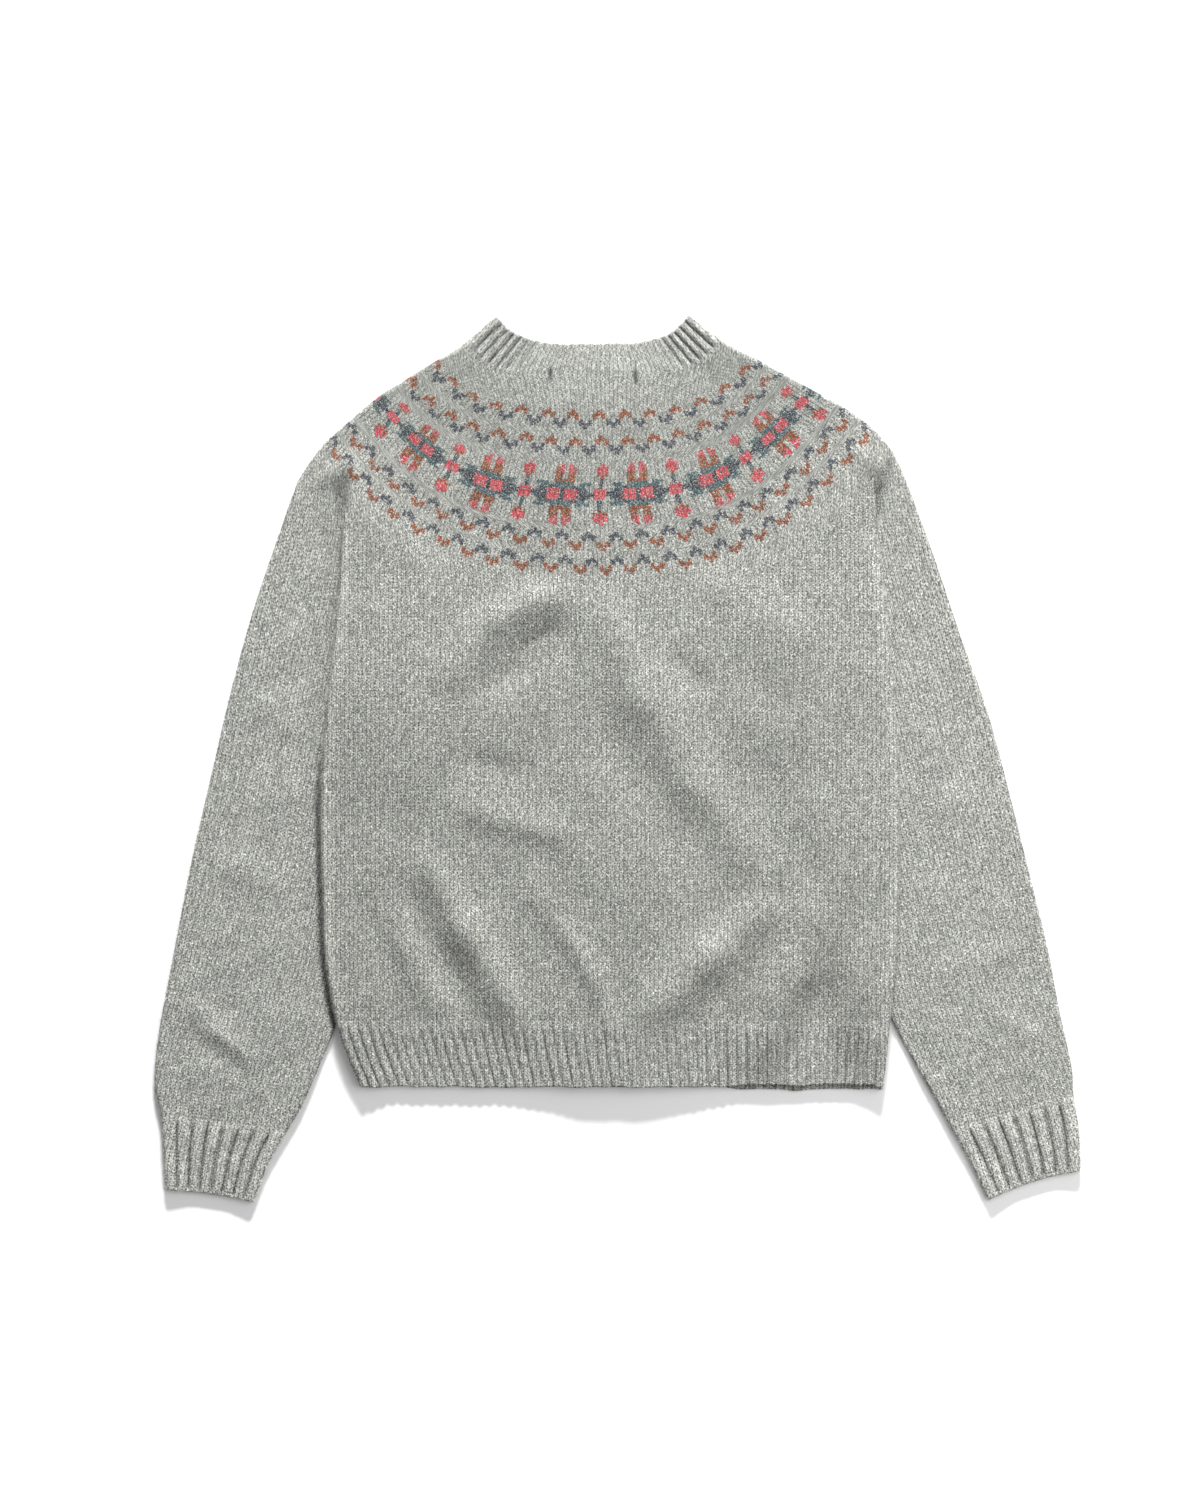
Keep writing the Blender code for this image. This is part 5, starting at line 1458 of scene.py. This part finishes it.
def wool_material(name, settings, base, groups, bands=False, calm=1.0):
    """Brushed wool: heather colour, painted shade and painted highlight, and a bump of stitches and fuzz.

    The shade is painted in the hollows between the stitches, in rib valleys, tucks and creases; the highlight
    on the legs' tops, where the cloth turns away and along the body's folds. With bands, the yoke's chart
    lies over the ground. Calm, below 1, softens the heather and the stitches.
    """
    material = bpy.data.materials.new(name)
    material.use_nodes = True
    tree = material.node_tree
    shader = tree.nodes["Principled BSDF"]
    paint = Paint(tree)
    place = paint.node("UVMap", uv_map="knit")
    stitches = paint.group(groups["stitch"], place, WALE, COURSE, 0.8)
    hairs = (settings.dark_hair, settings.light_hair)
    heather = paint.group(groups["heather"], place, base, *hairs, settings.heather * calm, 0.4 + 0.6 * calm)
    colour = heather[0]
    if bands:
        low = paint.spread(paint.node("SeparateXYZ", place).node.outputs[1], 60.0, 190.0)
        plain = paint.group(groups["heather"], place, settings.body, *hairs, settings.heather, 1.0)
        colour = paint.mix(low, colour, plain[0])
        wide = paint.node("SeparateXYZ", paint.noise(place, 0.013, 1.0, 0.5, out=1))
        fine = paint.node("SeparateXYZ", paint.noise(place, 0.5, 3.0, 0.7, out=1))
        slant = paint.times(paint.less(fine, 0.5), 1.7)
        slant = paint.scaled(paint.less(wide, 0.5), 3.0, slant)
        step = paint.times(paint.less(fine.node.outputs[1], 0.5), 1.3)
        step = paint.scaled(paint.less(wide.node.outputs[1], 0.5), 3.6, step)
        chart = paint.group(groups["chart"], place, slant, step)
        speck = paint.noise(place, 0.62, 3.0, 0.8)
        yarn = paint.mix(paint.spread(speck, 0.58, 0.72, 0.0, 0.16), chart[0], settings.light_hair)
        yarn = paint.mix(paint.spread(speck, 0.46, 0.34, 0.0, 0.8), yarn, (0.03, 0.025, 0.025, 1.0))
        cover = paint.times(chart[1], paint.spread(paint.noise(place, 0.75, 2.0, 0.8), 0.4, 0.5, 0.06, 1.0))
        cover = paint.times(cover, paint.spread(stitches[0], 0.05, 0.45, 0.6, 1.0))
        colour = paint.mix(cover, colour, yarn)
    # Painted shade in the hollows between stitches and painted highlight on the legs' tops, times a random
    # tone for each leg
    painted_light = paint.spread(stitches[1], 0.1, 0.85, 1.16, settings.painted_light)
    painted_light = paint.times(painted_light, paint.spread(stitches[2], 0.0, 1.0, 0.72, 1.28))
    # Painted highlight where the cloth turns away from the camera
    rim = paint.node("LayerWeight", 0.4, out=1)
    painted_light = paint.times(painted_light, paint.spread(rim, 0.5, 0.95, 1.0, settings.painted_rim_highlight))
    # Painted shade from the valley attribute in rib valleys, tucks, creases and tacks; below 0 it is the
    # painted highlight along the body's folds
    valley = paint.node("Attribute", out=2, attribute_name="valley")
    painted_light = paint.times(painted_light, paint.spread(valley, 0.1, 0.9, 1.0, settings.valley))
    painted_light = paint.times(painted_light, paint.spread(valley, -1.0, 0.0, settings.painted_highlight, 1.0))
    # All the painted shade and highlight multiplies the colour
    tone = paint.node("CombineXYZ", painted_light, painted_light, painted_light)
    colour = paint.mix(1.0, colour, tone, "MULTIPLY")
    paint.put(shader.inputs["Base Color"], colour)
    relief = paint.plus(paint.times(stitches[0], 0.5 * calm), paint.times(heather[1], 0.9))
    raised = tree.nodes.new("ShaderNodeBump")
    raised.inputs["Strength"].default_value = 0.6
    raised.inputs["Distance"].default_value = 0.0007
    paint.put(raised.inputs["Height"], relief)
    paint.put(shader.inputs["Normal"], raised.outputs[0])
    shader.inputs["Roughness"].default_value = 0.95
    shader.inputs["Specular IOR Level"].default_value = 0.15
    shader.inputs["Sheen Weight"].default_value = settings.sheen
    shader.inputs["Sheen Roughness"].default_value = 0.6
    return material


def fibre_material(colour):
    """Plain matt fibre: the fuzz and the sewing thread."""
    material = bpy.data.materials.new("fibre")
    material.use_nodes = True
    shader = material.node_tree.nodes["Principled BSDF"]
    shader.inputs["Base Color"].default_value = colour
    shader.inputs["Roughness"].default_value = 0.8
    shader.inputs["Specular IOR Level"].default_value = 0.2
    return material


def horn_material(colour):
    """Polished horn: brown with darker and paler streaks along it."""
    material = bpy.data.materials.new("horn")
    material.use_nodes = True
    paint = Paint(material.node_tree)
    shader = material.node_tree.nodes["Principled BSDF"]
    place = paint.node("TexCoord", out=3)
    stretched = paint.node("Mapping", place, None, (0.0, 0.0, 0.3), (140.0, 420.0, 140.0))
    streak = paint.noise(stretched, 1.0, 4.0, 0.6)
    brown = paint.mix(paint.spread(streak, 0.35, 0.7), colour, (0.16, 0.09, 0.045, 1.0))
    paint.put(shader.inputs["Base Color"], brown)
    paint.put(shader.inputs["Roughness"], paint.spread(streak, 0.2, 0.8, 0.28, 0.42))
    return material


def colour_property(name, description, default):
    """A colour that the panel shows."""
    return bpy.props.FloatVectorProperty(
        name=name, description=description, default=default, size=4, subtype="COLOR", min=0.0, max=1.0
    )


def value_property(name, description, default, low=0.0, high=1.0):
    """A plain number that the panel shows."""
    return bpy.props.FloatProperty(name=name, description=description, default=default, min=low, max=high)


class CardiganWool(bpy.types.PropertyGroup):
    """Colours and strengths of the wool."""

    # The body, sleeves, hem, cuffs, yoke and neckband are one grey yarn; their greys differ per piece as lit
    # and shaded copies, set to how bright each piece looks under the lamps: painted light
    body: colour_property("Body", "Colour of the body", (0.291, 0.297, 0.273, 1.0))
    sleeve: colour_property("Sleeves", "Colour of the sleeves", (0.326, 0.332, 0.307, 1.0))
    rib: colour_property("Hem", "Colour of the ribbed hem and of the front bands", (0.33, 0.335, 0.312, 1.0))
    cuff: colour_property("Cuffs", "Colour of the ribbed cuffs", (0.418, 0.424, 0.394, 1.0))
    yoke: colour_property("Yoke", "Colour of the yoke's ground", (0.264, 0.27, 0.249, 1.0))
    neckband: colour_property("Neckband", "Colour of the neckband", (0.302, 0.308, 0.286, 1.0))
    dark_hair: colour_property("Dark hair", "Colour of the dark fibres", (0.085, 0.088, 0.082, 1.0))
    light_hair: colour_property("Light hair", "Colour of the light fibres", (0.60, 0.605, 0.565, 1.0))
    horn: colour_property("Buttons", "Darkest colour of the horn buttons", (0.05, 0.028, 0.018, 1.0))
    thread: colour_property("Thread", "Colour of the thread that holds the buttons", (0.16, 0.16, 0.15, 1.0))
    fibre: colour_property("Loose fibres", "Colour of the fibres that stand out", (0.42, 0.42, 0.39, 1.0))
    fibre_count: bpy.props.IntProperty(
        name="Number of loose fibres", description="How many fibres stand out of the wool",
        default=20000, min=0,
    )
    heather: value_property("Heather", "Strength of the light and dark fibres", 0.9)
    # Painted shade between the stitches
    painted_light: value_property("Hollows", "Brightness of the hollows between stitches", 0.24)
    # Painted shade in rib valleys, tucks, armhole creases and tacks
    valley: value_property("Valleys", "Brightness of the valleys between ribs and of tucks", 0.36)
    # Painted highlight along the body's folds
    painted_highlight: value_property("Nap", "Brightness of the raised nap along the body's folds", 1.22, 1.0, 2.0)
    # Painted highlight where the cloth turns away from the camera
    painted_rim_highlight: value_property("Halo", "Brightness of the fuzz where the cloth turns away", 2.2, 1.0, 4.0)
    sheen: value_property("Sheen", "Strength of the soft sheen on brushed wool", 0.05)


class CardiganStage(bpy.types.PropertyGroup):
    """The floor, the light and the camera."""

    view_height: bpy.props.FloatProperty(
        name="View height", description="Height of floor that the camera sees", default=1.26, min=0.1,
        unit="LENGTH",
    )
    camera_distance: bpy.props.FloatProperty(
        name="Camera distance", description="Distance of the camera above the floor", default=5.0, min=1.0,
        unit="LENGTH",
    )
    key: value_property("Key light", "Power of the low soft light beyond the neck", 530.0, 0.0, 4000.0)
    top: value_property("Top light", "Power of the soft light above and on the right", 17.0, 0.0, 2000.0)
    sky: value_property("Sky", "Strength of the even light all round", 0.35, 0.0, 5.0)


def add_softbox(name, place, size, power):
    """A soft rectangular light at a place in metres, aimed at the middle of the part."""
    light = bpy.data.lights.new(name, "AREA")
    light.shape = "RECTANGLE"
    light.size, light.size_y = size
    light.energy = power
    lamp = bpy.data.objects.new(name, light)
    lamp.location = place
    lamp.rotation_euler = Vector(place).to_track_quat("Z", "Y").to_euler()
    bpy.context.scene.collection.objects.link(lamp)


def wool_slots():
    """The wool materials by slot, made once."""
    names = ("body", "sleeve", "rib", "cuff", "yoke", "neckband")
    made = {"wool_" + name: bpy.data.materials.get("brushed_" + name) for name in names}
    if all(made.values()):
        return made
    wool = bpy.context.scene.cardigan_wool
    groups = {"stitch": stitch_group(), "heather": heather_group(), "chart": yoke_chart_group()}
    for name in names:
        base = getattr(wool, name)
        calm = {"yoke": 0.55, "neckband": 0.4}.get(name, 1.0)
        made["wool_" + name] = wool_material("brushed_" + name, wool, base, groups, name == "yoke", calm)
    return made


FUZZY_PIECES = (
    "body", "hem_rib", "yoke_knit", "neckband_rib", "sleeve_left_knit", "sleeve_right_knit",
    "cuff_left_rib", "cuff_right_rib",
)


def front_nodes(name):
    """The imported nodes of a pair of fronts."""
    return "front_left" + name, "front_right" + name


class CARDIGAN_OT_body(bpy.types.Operator):
    """Makes the body and its ribbed hem"""

    bl_idname = "cardigan.body"
    bl_label = "Body and hem"

    def execute(self, context):
        wool = wool_slots()
        knit, rib = wool["wool_body"], wool["wool_rib"]
        body = add_piece("body", make_body(), knit, "wool_body", "back", *front_nodes(""))
        hem = add_piece("hem_rib", make_hem_rib(), rib, "wool_rib", "back_rib", *front_nodes("_rib"))
        return {"FINISHED"}


class CARDIGAN_OT_yoke(bpy.types.Operator):
    """Makes the patterned yoke and the neckband"""

    bl_idname = "cardigan.yoke"
    bl_label = "Yoke and neckband"

    def execute(self, context):
        wool = wool_slots()
        yoke = add_piece("yoke_knit", make_yoke(), wool["wool_yoke"], "wool_yoke", "yoke")
        neck = add_piece("neckband_rib", make_neckband(), wool["wool_neckband"], "wool_neckband", "neckband")
        return {"FINISHED"}


class CARDIGAN_OT_sleeves(bpy.types.Operator):
    """Makes both sleeves and their ribbed cuffs"""

    bl_idname = "cardigan.sleeves"
    bl_label = "Sleeves and cuffs"

    def execute(self, context):
        wool = wool_slots()
        for side, sleeve, right in (("left", LEFT_SLEEVE, False), ("right", RIGHT_SLEEVE, True)):
            node = f"sleeve_{side}"
            mesh = make_sleeve(node, sleeve, right)
            arm = add_piece(node + "_knit", mesh, wool["wool_sleeve"], "wool_sleeve", node)
            node = f"cuff_{side}"
            mesh = make_cuff(node, sleeve, right)
            cuff = add_piece(node + "_rib", mesh, wool["wool_cuff"], "wool_rib", node)
        return {"FINISHED"}


class CARDIGAN_OT_opening(bpy.types.Operator):
    """Makes the two front bands and the buttons"""

    bl_idname = "cardigan.opening"
    bl_label = "Bands and buttons"

    def execute(self, context):
        wool = wool_slots()
        plain = make_band_mesh("button_band", BUTTON_BAND_LEVEL)
        slit = cut_out(make_band_mesh("buttonhole_band", BUTTONHOLE_BAND_LEVEL), make_slits())
        for name, mesh in (("button_band", plain), ("buttonhole_band", slit)):
            band = add_piece(name + "_rib", mesh, wool["wool_rib"], "wool_rib", name)
        numbers = [f"button_{i}" for i in range(1, BUTTON_COUNT + 1)]
        horn = horn_material(context.scene.cardigan_wool.horn)
        add_piece("buttons", make_buttons_mesh(), horn, "button_horn", *numbers)
        add_piece("threads", make_threads(), fibre_material(context.scene.cardigan_wool.thread), "wool_rib")
        return {"FINISHED"}


class CARDIGAN_OT_fuzz(bpy.types.Operator):
    """Makes the loose fibres that stand out of the brushed wool"""

    bl_idname = "cardigan.fuzz"
    bl_label = "Loose fibres"

    def execute(self, context):
        pieces = [piece for piece in context.scene.objects if piece.name in FUZZY_PIECES]
        wool = context.scene.cardigan_wool
        add_piece("fuzz", make_fuzz(pieces, wool.fibre_count), fibre_material(wool.fibre), "wool_body")
        return {"FINISHED"}


class CARDIGAN_OT_stage(bpy.types.Operator):
    """Makes the pale floor, the soft light and the camera"""

    bl_idname = "cardigan.stage"
    bl_label = "Floor, light and camera"

    def execute(self, context):
        stage = context.scene.cardigan_stage
        ring = [(-1.0, -1.0), (1.0, -1.0), (1.0, 1.0), (-1.0, 1.0)]
        corner = np.array([(FLOOR_HALF * x, FLOOR_HALF * y, -FLOOR_DROP) for x, y in ring])
        mesh = mesh_of("floor", corner, np.array([[0, 1, 2, 3]]), smooth=False)
        paper = bpy.data.materials.new("paper")
        paper.use_nodes = True
        paint = Paint(paper.node_tree)
        grain = paint.noise(paint.node("TexCoord", out=3), 260.0, 3.0)
        shade = paint.spread(grain, 0.3, 0.7, 0.955, 0.965)
        shader = paper.node_tree.nodes["Principled BSDF"]
        paint.put(shader.inputs["Base Color"], paint.node("CombineColor", shade, shade, shade))
        shader.inputs["Roughness"].default_value = 0.9
        shader.inputs["Specular IOR Level"].default_value = 0.1
        mesh.materials.append(paper)
        floor = bpy.data.objects.new("floor", mesh)
        context.scene.collection.objects.link(floor)

        add_softbox("key", KEY_PLACE, KEY_SIZE, stage.key)
        add_softbox("top", TOP_PLACE, TOP_SIZE, stage.top)
        world = bpy.data.worlds.new("studio")
        world.use_nodes = True
        world.node_tree.nodes["Background"].inputs[0].default_value = (1.0, 1.0, 1.0, 1.0)
        world.node_tree.nodes["Background"].inputs[1].default_value = stage.sky
        context.scene.world = world
        context.scene.view_settings.view_transform = "Standard"

        lens = bpy.data.cameras.new("camera")
        lens.sensor_width = SENSOR_WIDTH
        lens.lens = SENSOR_WIDTH * stage.camera_distance / stage.view_height
        camera = bpy.data.objects.new("camera", lens)
        camera.location = (*VIEW_CENTRE, stage.camera_distance)
        context.scene.collection.objects.link(camera)
        context.scene.camera = camera
        return {"FINISHED"}


class CARDIGAN_PT_panel(bpy.types.Panel):
    """Lists the cardigan's operators and settings"""

    bl_idname = "CARDIGAN_PT_panel"
    bl_label = "Cardigan"
    bl_space_type = "VIEW_3D"
    bl_region_type = "UI"
    bl_category = "Cardigan"

    def draw(self, context):
        """Draws a button for each operator and a field for each setting."""
        for operator in OPERATORS:
            self.layout.operator(operator.bl_idname)
        for settings in (context.scene.cardigan_wool, context.scene.cardigan_stage):
            for name in settings.__annotations__:
                self.layout.prop(settings, name)


OPERATORS = (
    CARDIGAN_OT_body, CARDIGAN_OT_yoke, CARDIGAN_OT_sleeves, CARDIGAN_OT_opening, CARDIGAN_OT_fuzz,
    CARDIGAN_OT_stage,
)
CLASSES = (CardiganWool, CardiganStage, *OPERATORS, CARDIGAN_PT_panel)


def register():
    """Registers the classes and the settings."""
    for item in CLASSES:
        bpy.utils.register_class(item)
    bpy.types.Scene.cardigan_wool = bpy.props.PointerProperty(type=CardiganWool)
    bpy.types.Scene.cardigan_stage = bpy.props.PointerProperty(type=CardiganStage)


def unregister():
    """Takes the settings and the classes off again."""
    del bpy.types.Scene.cardigan_wool
    del bpy.types.Scene.cardigan_stage
    for item in reversed(CLASSES):
        bpy.utils.unregister_class(item)


def main():
    """Makes every piece and the stage."""
    register()
    bpy.ops.cardigan.body()
    bpy.ops.cardigan.yoke()
    bpy.ops.cardigan.sleeves()
    bpy.ops.cardigan.opening()
    bpy.ops.cardigan.fuzz()
    bpy.ops.cardigan.stage()


if __name__ == "__main__":
    main()
